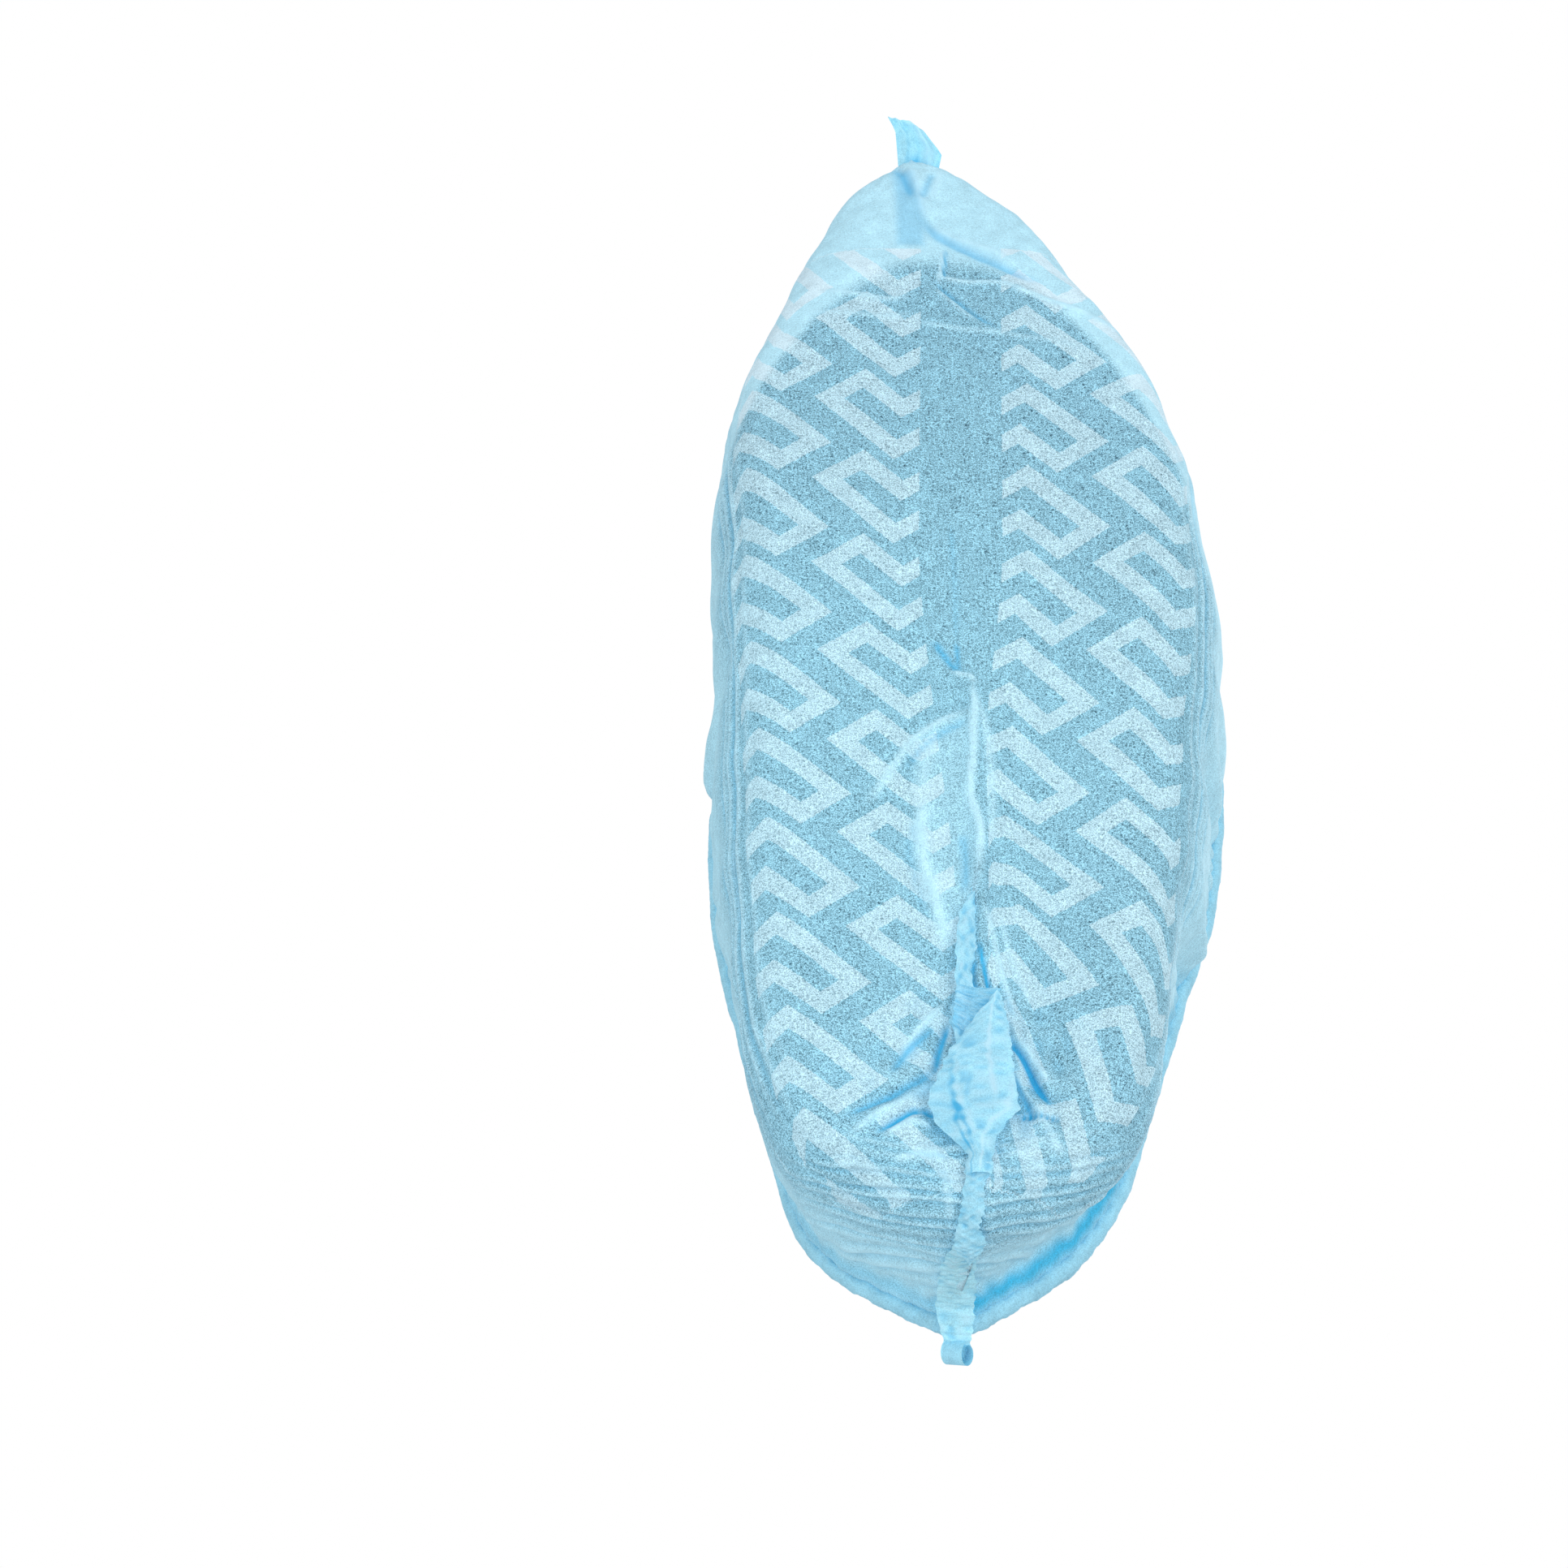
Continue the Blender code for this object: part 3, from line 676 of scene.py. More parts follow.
# %% Pinched oval round the ring
hem_line = eased(hem_line, 22)
upright = unit(eased(unit(hem_line - hem_inner), 30) * 0.6 + np.array([0, 0, 0.5]))
ahead = unit(np.roll(hem_line, -1, axis=0) - np.roll(hem_line, 1, axis=0))
sideways = unit(np.cross(ahead, upright))
upright = np.cross(sideways, ahead)
hem_turns = round(whole / HEM_PITCH)
phase = 2 * math.pi * hem_turns * stations / whole
WAVES_OF_WANDER = 6
drift = np.random.default_rng(4).uniform(0, 2 * math.pi, WAVES_OF_WANDER)
wander = np.zeros(HEM_STATIONS)
for k in range(WAVES_OF_WANDER):
    wander += np.sin(2 * math.pi * (k * 3 + 5) * stations / whole + drift[k]) / 3
pinched = 1 + 0.05 * np.sin(phase + 1.5 * wander) + 0.04 * np.sin(1.7 * phase + 2 * wander) + 0.09 * wander
angles = np.linspace(0, 2 * math.pi, HEM_SIDES + 1)
hem_out = unit(hem_line * (1, 1, 0) - (0, 30, 0))  # away from the middle of the opening
RAISED, STANDS_OUT, MORE_AT_HEEL = 0.8, 0.4, 0.5
centre = hem_line + upright * RAISED
centre += hem_out * (STANDS_OUT + MORE_AT_HEEL * smoothstep(hem_line[:, 1:2], 40, 110))
ring = (
    centre[:, None]
    + sideways[:, None] * (HEM_HALF_WIDTH * np.cos(angles) * (0.75 + 0.25 * pinched[:, None]))[:, :, None]
    + upright[:, None] * (HEM_HALF_HEIGHT * np.sin(angles) * pinched[:, None])[:, :, None]
)
wobble = 0.3 * np.sin(phase / 2.6 + 2 * wander)[:, None] * np.abs(np.sin(angles))
ring += sideways[:, None] * wobble[:, :, None]
round_section = np.broadcast_to(angles[None, :] * 1.6, ring.shape[:2])  # millimetres round the oval
along_ring = np.broadcast_to(stations[:, None], ring.shape[:2])
hem = make_piece(
    "rolled_hem",
    ring[:, :-1][:, list(range(HEM_SIDES)) + [0]],
    {"cloth": (round_section * MM, along_ring * MM)},
    loop=True,
)
print("rolled_hem:", round(whole), "mm long,", hem_turns, "pinches")

# %% [markdown]
# ## Seam allowances
# Outside each end seam two layers of cloth stand up as a fin about 9 mm wide. Over the toe it stands free
# and ends below in an ear, the folded corner of the sheet. At the heel it lies over: a narrow fin on the
# sole opens into a large flap, runs up the heel as a twisted strip and ends in a small curl past the hem.
# Each of these is a ruled strip: a left and a right edge with kinks, and straight threads between them.

# %% Ruled strips and chance crinkles
def chance_line(count, knots, seed, size):
    """A smooth chance curve of count values with so many turns."""
    values = np.random.default_rng(seed).uniform(-size, size, (knots + 1, 1))
    return natural_spline(range(knots + 1), values, np.linspace(0, knots, count))[:, 0]


def even_line(points, count):
    """Places spread evenly along a line with kinks, and how far along it each one is."""
    points = np.asarray(points, float)
    marks = np.r_[0, np.cumsum(np.linalg.norm(np.diff(points, axis=0), axis=1))]
    at = np.linspace(0, marks[-1], count)
    return np.stack([np.interp(at, marks, points[:, k]) for k in range(points.shape[1])], axis=1), at


RAGGED = 0.35  # how far the cut edges stray
CREASE_WIDTH = 0.035  # of a drawn crease, as a share of the strip
CRINKLE_TURNS = (1.0, 2.3, 4.1)  # half waves across the strip, in three sizes


def ruled_strip(name, left, right, seed, rows=150, columns=26, swell=0.6, crinkle=0.3, lines=()):
    """A piece of cloth between two edges, bulging by swell, with chance crinkles and ragged edges, and
    painted highlight and shade along the crinkles and the given lines.
    """
    left_line, left_at = even_line(left, rows)
    right_line, _ = even_line(right, rows)
    share = np.linspace(0, 1, columns)
    points = left_line[:, None] * (1 - share)[:, None] + right_line[:, None] * share[:, None]
    normal = unit(np.cross(np.gradient(points, axis=0), np.gradient(points, axis=1)))
    crinkles = np.zeros((rows, columns))
    for k, turns in enumerate(CRINKLE_TURNS):
        drift = chance_line(rows, 18 + 14 * k, seed + k, crinkle)[:, None]
        crinkles += drift * np.cos(turns * math.pi * share + k)[None, :]
    relief = crinkles + swell * np.sin(math.pi * share)[None, :]
    points = points + normal * relief[:, :, None]
    points[:, :, 0] += chance_line(rows, 46, seed + 7, RAGGED)[:, None] * share
    points[:, :, 0] += chance_line(rows, 40, seed + 8, RAGGED)[:, None] * (1 - share)
    width = np.linalg.norm(right_line - left_line, axis=1)[:, None] * share
    at = np.broadcast_to(left_at[:, None], width.shape)
    # painted highlight on the crinkles' crests and painted shade in their troughs
    painted_light_and_shade = np.clip(0.3 * crinkles / crinkle, -1, 1)
    across, along = np.meshgrid(share, left_at / left_at[-1])
    for (row, column), (next_row, next_column), tone in lines:
        near, _ = distance_to([(column, row), (next_column, next_row)], across, along)
        painted_light_and_shade = painted_light_and_shade + tone * np.exp(-((near / CREASE_WIDTH) ** 2))
    return make_piece(
        name,
        points,
        {"cloth": (width * MM, at * MM), "marks": (np.clip(-painted_light_and_shade, 0, 1), np.clip(painted_light_and_shade, 0, 1))},
    )


print("cut edges stray by", RAGGED, "mm at most")

# %% [markdown]
# ## The heel seam on the sole
# The seam starts on the sole as a narrow fin that lies to the right. Then it opens: a small fold lies under
# the flap's start, and the flap itself is a kite of doubled cloth, creased where it was pressed flat. The
# edges are given as points (sideways, along the foot, up), from the sole towards the heel.

# %% Fin, fold and flap of the heel seam
heel_line = cloth_points[-1, MIDDLE:]


def on_heel(x, z, off):
    """A point off the heel wall at height z, as (x, y, z)."""
    wall = np.interp(z, heel_line[15:, 2], heel_line[15:, 1])
    return (x, float(wall) + off, z)


heel_fin = ruled_strip(
    "heel_fin",
    [
        (3.8, 52, -2.6), (3.0, 59, -3.4), (-0.5, 67.6, -4.4), (-1.4, 81, -4.8),
        (-1.4, 88, -4.4), (-2.8, 98.6, -3.8), (-1, 105, -3.4),
    ],
    [
        (4.4, 52, -2.4), (4.2, 59, -3.0), (3.4, 68, -3.6), (3.6, 78, -3.8),
        (2.4, 84, -3.9), (3.2, 91, -4.2), (3.0, 105, -3.4),
    ],
    seed=51,
    swell=0.5,
    crinkle=0.2,
)
heel_fold = ruled_strip(
    "heel_fold",
    [(-1.0, 89.2, -5.6), (-1.6, 94, -5.8), (-2.2, 100, -5.2)],
    [(9.2, 91.6, -7.2), (6.5, 97, -6.2), (2.2, 103, -4.8)],
    seed=61,
    rows=60,
    swell=-0.8,
    crinkle=0.25,
)
# creases pressed into the flap, drawn only as painted highlight and shade: from and to as shares (along,
# across), and tone as on the sole
FLAP_CREASES = [
    ((0.0, 0.5), (0.55, 0.75), 0.9),
    ((0.3, 0.1), (0.75, 0.5), 0.7),
    ((0.34, 0.12), (0.78, 0.42), -0.6),
    ((0.55, 0.95), (0.95, 0.55), 0.8),
    ((0.62, 0.3), (0.98, 0.2), -0.8),
    ((0.5, 0.45), (0.9, 0.35), -0.35),
]
heel_flap = ruled_strip(
    "heel_flap",
    [
        (7.6, 93.6, -7.6), (1.6, 101.6, -6.2), (-3.7, 109.6, -5.2), (-7.8, 120.4, -4.6),
        (-6.8, 126, -4.2), (-4.6, 129.5, -4.0), (1.6, 136, -4.0), (0.8, 141, -3.2),
    ],
    [
        (9.0, 93.4, -7.8), (10.6, 100, -8.2), (11.9, 112, -8.2), (13.0, 122.6, -7.2),
        (13.4, 125.4, -6.6), (10.6, 128, -6.0), (7.8, 132.5, -5.0), (6.8, 141, -3.4),
    ],
    seed=71,
    columns=44,
    swell=1.5,
    crinkle=0.2,
    lines=FLAP_CREASES,
)
print("on the sole:", heel_fin.name, heel_fold.name, heel_flap.name)

# %% [markdown]
# ## The heel seam on the heel
# Round the edge of the sole the flap narrows and twists over, and above it the seam runs up to the hem as
# a flat strip. Both lie just off the heel wall, so their points are given by height and distance from it.

# %% Twist and strip of the heel seam
heel_twist = ruled_strip(
    "heel_twist",
    [
        (1.2, 138, -4.0), on_heel(-0.3, 3, 1.0), on_heel(-1.9, 11, 1.8),
        on_heel(-0.6, 15, 2.2), on_heel(1.6, 19.6, 2.4),
    ],
    [
        (7.4, 138, -4.2), on_heel(5.0, 3, 1.4), on_heel(4.0, 6, 1.6),
        on_heel(5.8, 9.5, 2.0), on_heel(4.6, 14.5, 2.4), on_heel(2.0, 20, 2.4),
    ],
    seed=81,
    rows=110,
    swell=0.7,
    crinkle=0.25,
)
heel_strip = ruled_strip(
    "heel_seam_strip",
    [
        on_heel(-1.6, 12, 0.8), on_heel(-3.2, 17, 0.9), on_heel(-4.8, 26, 1.0),
        on_heel(-5.8, 38, 1.1), on_heel(-6.0, 45, 1.6), on_heel(-4.4, 53, 4.6),
    ],
    [
        on_heel(2.4, 12, 0.9), on_heel(4.4, 17, 1.4), on_heel(3.2, 26, 1.5),
        on_heel(3.4, 38, 1.6), on_heel(3.2, 45, 2.2), on_heel(2.2, 53, 5.0),
    ],
    seed=91,
    swell=0.5,
    crinkle=0.16,
)
print("up the heel:", heel_twist.name, heel_strip.name)

# %% [markdown]
# ## The curled tail
# Past the hem the seam's loose end has rolled itself up. It is a spiral of cloth: a band whose path winds
# inwards round an axis that points to the right and a little down. Its inner turns carry painted shade.

# %% Curled tail of the heel seam
TAIL_CENTRE = np.array(on_heel(-0.8, 53.8, 6.6))
axis = unit(np.array([0.85, 0.35, -0.5]))
tail_across = unit(np.cross(axis, np.array([0, -0.79, -0.62])))
tail_up = np.cross(tail_across, axis)
TAIL_ROWS, TAIL_COLUMNS = 120, 15
TAIL_TURNS = 2.6
TAIL_RADIUS, TAIL_TIGHTENS = 2.9, 2.5  # at its outer end, and how much smaller at its inner end
TAIL_HALF_WIDTH, TAIL_NARROWS = 3.2, 0.5
TAIL_LENGTH = 20  # of the bonding pattern laid along it
winding = np.linspace(0, 1, TAIL_ROWS)
angle = math.radians(100) + 2 * math.pi * TAIL_TURNS * winding
radius = TAIL_RADIUS - TAIL_TIGHTENS * winding + chance_line(TAIL_ROWS, 9, 95, 0.15)
tail_share = np.linspace(-1, 1, TAIL_COLUMNS)
tail_path = (
    TAIL_CENTRE
    + tail_across * (-radius * np.cos(angle))[:, None]
    + tail_up * (radius * 1.1 * np.sin(angle))[:, None]
)
half_width = TAIL_HALF_WIDTH - TAIL_NARROWS * winding
tail_grid = tail_path[:, None] + axis * (half_width[:, None] * tail_share)[:, :, None]
tail_grid += tail_across * (0.25 * np.sin(7 * winding)[:, None] * tail_share)[:, :, None]
across, along = np.meshgrid(tail_share * 2.6, winding * TAIL_LENGTH)
# painted shade on the inner turns
painted_inner_shade = 0.3 * smoothstep(along / TAIL_LENGTH, 0.3, 0.7)
tail = make_piece(
    "heel_seam_tail",
    tail_grid,
    {"cloth": (across * MM, along * MM), "marks": (painted_inner_shade, np.zeros(across.shape))},
)
print(tail.name, "winds", TAIL_TURNS, "times")

# %% [markdown]
# ## The toe seam
# Over the toe the seam allowance stands free, like a fin. It follows the end seam of the sheet, square to
# it, and its free edge leans to and fro and is cut a little unevenly. It gets narrower towards the hem.

# %% Toe seam fin
FIN_ROWS, FIN_COLUMNS = 300, 15
FIN_WIDTH = [(0, 7.5), (20, 9), (60, 8.5), (100, 8), (130, 7.5)]  # by the distance from the tip
toe_path, toe_at = even_line(cloth_points[0, MIDDLE:][:-4], FIN_ROWS)
forward = unit(np.gradient(toe_path, axis=0))
toe_out = unit(np.stack([0 * toe_at, -forward[:, 2], forward[:, 1]], axis=1))
fin_share = np.linspace(0, 1, FIN_COLUMNS)
fin_width = curve_value(toe_at, FIN_WIDTH) + chance_line(FIN_ROWS, 22, 41, 0.5)
fin_lean = 0.35 * np.sin(toe_at / 13) + chance_line(FIN_ROWS, 12, 42, 0.25)
fin_across = fin_width[:, None] * fin_share
fin_along = np.broadcast_to(toe_at[:, None], fin_across.shape)
fin_grid = toe_path[:, None] + toe_out[:, None] * fin_across[:, :, None]
fin_grid[:, :, 0] += (fin_lean * fin_width)[:, None] * fin_share**1.6
fin_grid[:, :, 0] += chance_line(FIN_ROWS, 46, 43, 0.5)[:, None] * fin_share
fin = make_piece("toe_seam_fin", fin_grid, {"cloth": (fin_across * MM, fin_along * MM)})
print(fin.name, "is", round(float(toe_at[-1])), "mm long")

# %% [markdown]
# ## The toe ear
# Below the toe the corner of the sheet sticks out as an ear. Its left side lies flat and its right side is
# rolled over, which leaves a pocket beside the roll, painted dark with shade. It is a flat outline that gets
# its relief from a ridge for the roll, a trough beside it and small waves that fan out from the tip of the
# toe. The roll carries a painted highlight, and lines of painted shade fan out from the tip.

# %% Toe ear
tip = cloth_points[0, MIDDLE]
EAR_ALONG = unit(np.array([0, -0.93, -0.37]))  # the way the ear points: forwards and down
EAR_FACE = np.cross(EAR_ALONG, np.array([1.0, 0, 0]))
EAR_LEFT = [(-2.6, -11.0), (-3.4, 0.7), (-3.9, 6.6), (-6.0, 11.2)]  # sideways, along the ear
EAR_RIGHT = [(2.6, -17.0), (7.6, -6.0), (8.6, -0.3), (5.9, 4.0), (3.6, 7.2), (1.2, 9.2)]
EAR_ROWS, EAR_COLUMNS = 90, 60
ear_left, _ = even_line(EAR_LEFT, EAR_ROWS)
ear_right, _ = even_line(EAR_RIGHT, EAR_ROWS)
b = np.linspace(0, 1, EAR_COLUMNS)[None, :]
a = np.linspace(0, 1, EAR_ROWS)[:, None]
ear_flat = ear_left[:, None] * (1 - b)[:, :, None] + ear_right[:, None] * b[:, :, None]
EAR_OFF = 1.1  # how far it stands off the sheet
ROLL_HEIGHT, TROUGH_DEPTH, ROLL_WIDTH = 1.5, 1.2, 0.13
roll_at = 0.66 + 0.1 * a
ear_relief = EAR_OFF + ROLL_HEIGHT * bump(b, roll_at, ROLL_WIDTH)
ear_relief -= TROUGH_DEPTH * bump(b, roll_at - 0.24, ROLL_WIDTH) * (1 - a)
ear_relief += 0.35 * np.sin(22 * b - 5 * a) * a + 0.25 * np.sin(31 * a + 6 * b)
ear_relief += 0.5 * smoothstep(a, 0.0, 0.3) - 0.9 * smoothstep(a, 0.5, 1)
ear_grid = (
    tip
    + ear_flat[:, :, :1] * np.array([1.0, 0, 0])
    + ear_flat[:, :, 1:] * EAR_ALONG
    + ear_relief[:, :, None] * -EAR_FACE * (1 if EAR_FACE[2] > 0 else -1)
)
EAR_WIDTH, EAR_LENGTH = 11, 16  # of the bonding pattern laid on it
# painted shade in the pocket and in lines fanning out, painted highlight along the roll
painted_pocket_shade = bump(b, 0.42, 0.13) * bump(a, 0.42, 0.09)
painted_fan_shade = np.clip(np.sin(26 * b - 9 * a), 0, 1) * (1 - a) * 0.5
ear = make_piece(
    "toe_ear",
    ear_grid,
    {
        "cloth": (b * EAR_WIDTH * MM + 0 * a, a * EAR_LENGTH * MM + 0 * b),
        "marks": (np.clip(1.1 * painted_pocket_shade + painted_fan_shade, 0, 1), 0.7 * bump(b, roll_at, 0.1)),
    },
)
print(ear.name, "has", len(ear.data.polygons), "faces")

# %% [markdown]
# ## The tab in the hem
# Where the toe seam meets the hem its end is caught in the gathers and stands up as a crinkled tab. The
# frame gives its place; the crinkles are waves across a small, slightly tapered rectangle.

# %% Crinkled tab where the toe seam ends in the hem
tab_low, tab_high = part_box("toe_tab")
tab_centre = np.array((tab_low + tab_high) / 2) / MM
TAB_ROWS, TAB_COLUMNS = 50, 60
TAB_HALF_WIDTH, TAB_TAPER, TAB_HALF_LENGTH, TAB_DROP = 5.6, 0.8, 7.5, 2.2
a = np.linspace(-1, 1, TAB_ROWS)[:, None]
b = np.linspace(-1, 1, TAB_COLUMNS)[None, :]
tab_grid = np.zeros((TAB_ROWS, TAB_COLUMNS, 3))
tab_grid[:, :, 0] = tab_centre[0] + (TAB_HALF_WIDTH - TAB_TAPER * a) * b
tab_grid[:, :, 1] = tab_centre[1] + TAB_HALF_LENGTH * a + 0.5 * np.sin(11 * b)
tab_grid[:, :, 2] = tab_centre[2] - TAB_DROP - 0.6 * a
tab_grid[:, :, 2] += 0.9 * np.sin(17 * b + 2 * a) + 0.4 * np.cos(8 * a + 4 * b)
tab_across, tab_along = b * 5.5 + 0 * a, a * TAB_HALF_LENGTH + 0 * b
tab = make_piece("toe_hem_tab", tab_grid, {"cloth": (tab_across * MM, tab_along * MM)})
SEAM_PIECES = [heel_fin, heel_fold, heel_flap, heel_twist, heel_strip, tail, fin, ear, tab]
print("seam pieces:", [o.name for o in SEAM_PIECES])


# %% [markdown]
# ## Colours and nodes
# Colours are written as the eye sees them, as sRGB hex values, and Blender's shaders want linear light. One
# function turns the first into the second. Another adds a node with its settings and links.

# %% Helpers for materials
def linear(hex_colour):
    """An sRGB hex colour as linear RGBA."""
    channels = [int(hex_colour[i : i + 2], 16) / 255 for i in (1, 3, 5)]
    return (*[c / 12.92 if c <= 0.04045 else ((c + 0.055) / 1.055) ** 2.4 for c in channels], 1.0)


def add(tree, kind, inputs=None, **settings):
    """Adds one node: settings are its own values, inputs maps its sockets to values or links."""
    node = tree.nodes.new(kind)
    for name, value in settings.items():
        setattr(node, name, value)
    for socket, value in (inputs or {}).items():
        if isinstance(value, bpy.types.NodeSocket):
            tree.links.new(value, node.inputs[socket])
        else:
            node.inputs[socket].default_value = value
    return node


print("half bright grey in linear light:", round(linear("#808080")[0], 3))

# %% [markdown]
# ## The print
# One bracket of the print is made of straight bars in two slanting directions: a long upper arm, a short
# closing leg, a lower arm, and a hook at each arm's open end. In coordinates that run along the arms and
# along the legs every bar is a plain box, so the bracket is a group of box tests. A second column holds the
# same bracket turned half way round, and both columns together are one band; the sole has two bands.

# %% The bracket as a node group
ARM = (20.7, 21.2)  # one arm, sideways and heelwards, millimetres
LEG = (-13.2, 9.8)  # one closing leg
OPEN_EDGE = -6.6  # the hooks are cut off along this line
ROW_PITCH = 28.0
# each bar: from and to along the arm, from and to along the leg, as shares of ARM and LEG
BARS = [(0, 1, 0, 0.32), (0.83, 1, 0, 1), (0.35, 1, 0.69, 1), (0, 0.17, 0, 0.95), (0.35, 0.52, 0.69, 1.5)]


def bracket_group():
    """A node group: place relative to the bracket's top corner, in millimetres, to 1 on the print."""
    group = bpy.data.node_groups.new("print bracket", "ShaderNodeTree")
    for name in ("x", "y"):
        group.interface.new_socket(name, in_out="INPUT", socket_type="NodeSocketFloat")
    group.interface.new_socket("on", in_out="OUTPUT", socket_type="NodeSocketFloat")
    start = group.nodes.new("NodeGroupInput")
    scale = ARM[0] * LEG[1] - ARM[1] * LEG[0]
    places = []
    for x_share, y_share in ((LEG[1] / scale, -LEG[0] / scale), (-ARM[1] / scale, ARM[0] / scale)):
        part = add(group, "ShaderNodeMath", {0: start.outputs["x"], 1: x_share}, operation="MULTIPLY")
        both = add(
            group,
            "ShaderNodeMath",
            {0: start.outputs["y"], 1: y_share, 2: part.outputs[0]},
            operation="MULTIPLY_ADD",
        )
        places.append(both.outputs[0])
    found = None
    for bar in BARS:
        inside = None
        for place, low, high in ((places[0], bar[0], bar[1]), (places[1], bar[2], bar[3])):
            test = add(
                group,
                "ShaderNodeMath",
                {0: place, 1: (low + high) / 2, 2: (high - low) / 2},
                operation="COMPARE",
            ).outputs[0]
            if inside is not None:
                test = add(group, "ShaderNodeMath", {0: inside, 1: test}, operation="MULTIPLY").outputs[0]
            inside = test
        if found is not None:
            inside = add(group, "ShaderNodeMath", {0: found, 1: inside}, operation="MAXIMUM").outputs[0]
        found = inside
    kept = add(group, "ShaderNodeMath", {0: start.outputs["x"], 1: OPEN_EDGE}, operation="GREATER_THAN")
    cut = add(group, "ShaderNodeMath", {0: found, 1: kept.outputs[0]}, operation="MULTIPLY")
    end = group.nodes.new("NodeGroupOutput")
    group.links.new(cut.outputs[0], end.inputs["on"])
    return group


BRACKET = bracket_group()
print("print bracket:", len(BARS), "bars,", len(BRACKET.nodes), "nodes")

# %% [markdown]
# ## The two bands
# The bracket repeats along each band, and the second band is the first one moved over. A place on the
# print is wrapped into one cell of this pattern before it is tested. Each cell asks for the bracket of
# its own row and of the row before, whose arm reaches into it. A little noise roughens the printed edges.

# %% Two bands of brackets
BAND_PITCH = 71.0
BAND_START = -61.2  # left side of the left band's cell
FIRST_CORNER = (54.1, 103.2)  # moves the left band's top corner to zero
TURNED = (36.8, 26.0)  # where the turned bracket's top corner lies
ROUGH_SCALE, ROUGH_BY = 1800.0, 0.0009  # the edges stray by up to half a millimetre


def print_mask(tree):
    """1 where the sheet carries the print, with edges a little rough."""
    place = add(tree, "ShaderNodeUVMap", uv_map="print").outputs[0]
    rough = add(tree, "ShaderNodeTexNoise", {"Vector": place, "Scale": ROUGH_SCALE, "Detail": 1.0})
    shake = add(
        tree, "ShaderNodeVectorMath", {0: rough.outputs["Color"], 1: (0.5, 0.5, 0.5)}, operation="SUBTRACT"
    ).outputs[0]
    shake = add(tree, "ShaderNodeVectorMath", {0: shake, "Scale": ROUGH_BY}, operation="SCALE").outputs[0]
    place = add(tree, "ShaderNodeVectorMath", {0: place, 1: shake}, operation="ADD").outputs[0]
    place = add(tree, "ShaderNodeVectorMath", {0: place, "Scale": 1 / MM}, operation="SCALE").outputs[0]
    parts = add(tree, "ShaderNodeSeparateXYZ", {0: place})
    x, y = parts.outputs["X"], parts.outputs["Y"]
    in_band = add(
        tree, "ShaderNodeMath", {0: x, 1: BAND_START + BAND_PITCH, 2: BAND_START}, operation="WRAP"
    ).outputs[0]
    in_band = add(tree, "ShaderNodeMath", {0: in_band, 1: FIRST_CORNER[0]}, operation="ADD").outputs[0]
    down = add(tree, "ShaderNodeMath", {0: y, 1: FIRST_CORNER[1]}, operation="ADD").outputs[0]
    turned_x = add(tree, "ShaderNodeMath", {0: TURNED[0], 1: in_band}, operation="SUBTRACT").outputs[0]
    turned_y = add(tree, "ShaderNodeMath", {0: TURNED[1], 1: down}, operation="SUBTRACT").outputs[0]
    found = None
    for column_x, column_y in ((in_band, down), (turned_x, turned_y)):
        row = add(tree, "ShaderNodeMath", {0: column_y, 1: ROW_PITCH, 2: 0.0}, operation="WRAP").outputs[0]
        for row_before in (0.0, ROW_PITCH):
            here = add(tree, "ShaderNodeMath", {0: row, 1: row_before}, operation="ADD").outputs[0]
            one = add(tree, "ShaderNodeGroup", node_tree=BRACKET)
            tree.links.new(column_x, one.inputs["x"])
            tree.links.new(here, one.inputs["y"])
            hit = one.outputs["on"]
            if found is not None:
                hit = add(tree, "ShaderNodeMath", {0: found, 1: hit}, operation="MAXIMUM").outputs[0]
            found = hit
    return found


print("bands", BAND_PITCH, "mm apart, brackets", ROW_PITCH, "mm apart")

# %% [markdown]
# ## Spunbond polypropylene
# The cloth is a felt of fine plastic fibres, blown on a belt and bonded by a hot roller that presses rows of
# tiny dashes into it. It is matt and thin enough to let light through. On top of that, light and shade are
# painted into its colour: a glow where light would come from behind it, deep cyan shade in folds and where
# layers overlap, and greyer shade where a shoe would lie behind it. The fibres themselves, about 0.02 mm
# thick, are too fine to show. What the eye gets is a random grain, which is drawn about 0.3 mm coarse, and
# the bonding marks, a little over 1 mm apart.
# First come the colours of the printed sheet: bare and printed cloth, each with a painted glow as if lit
# from behind, or with the painted shade of a shoe behind it.

# %% Colours of the printed sheet
CLOTH_WITH_PAINTED_GLOW, CLOTH_WITH_PAINTED_SHOE_SHADE = "#c0ebf8", "#90bfd0"  # bare cloth with a painted glow where empty, and with the painted shade of a shoe behind it
PRINT_WITH_PAINTED_GLOW, PRINT_WITH_PAINTED_SHOE_SHADE = "#daf1f9", "#bddce6"  # the same under the print
RIM_VALLEY_PAINTED_SHADE = "#1fb0de"  # painted shade in the valley below the hem
PRINT_CLOSES = 0.4  # share of the gaps between the fibres that the print fills


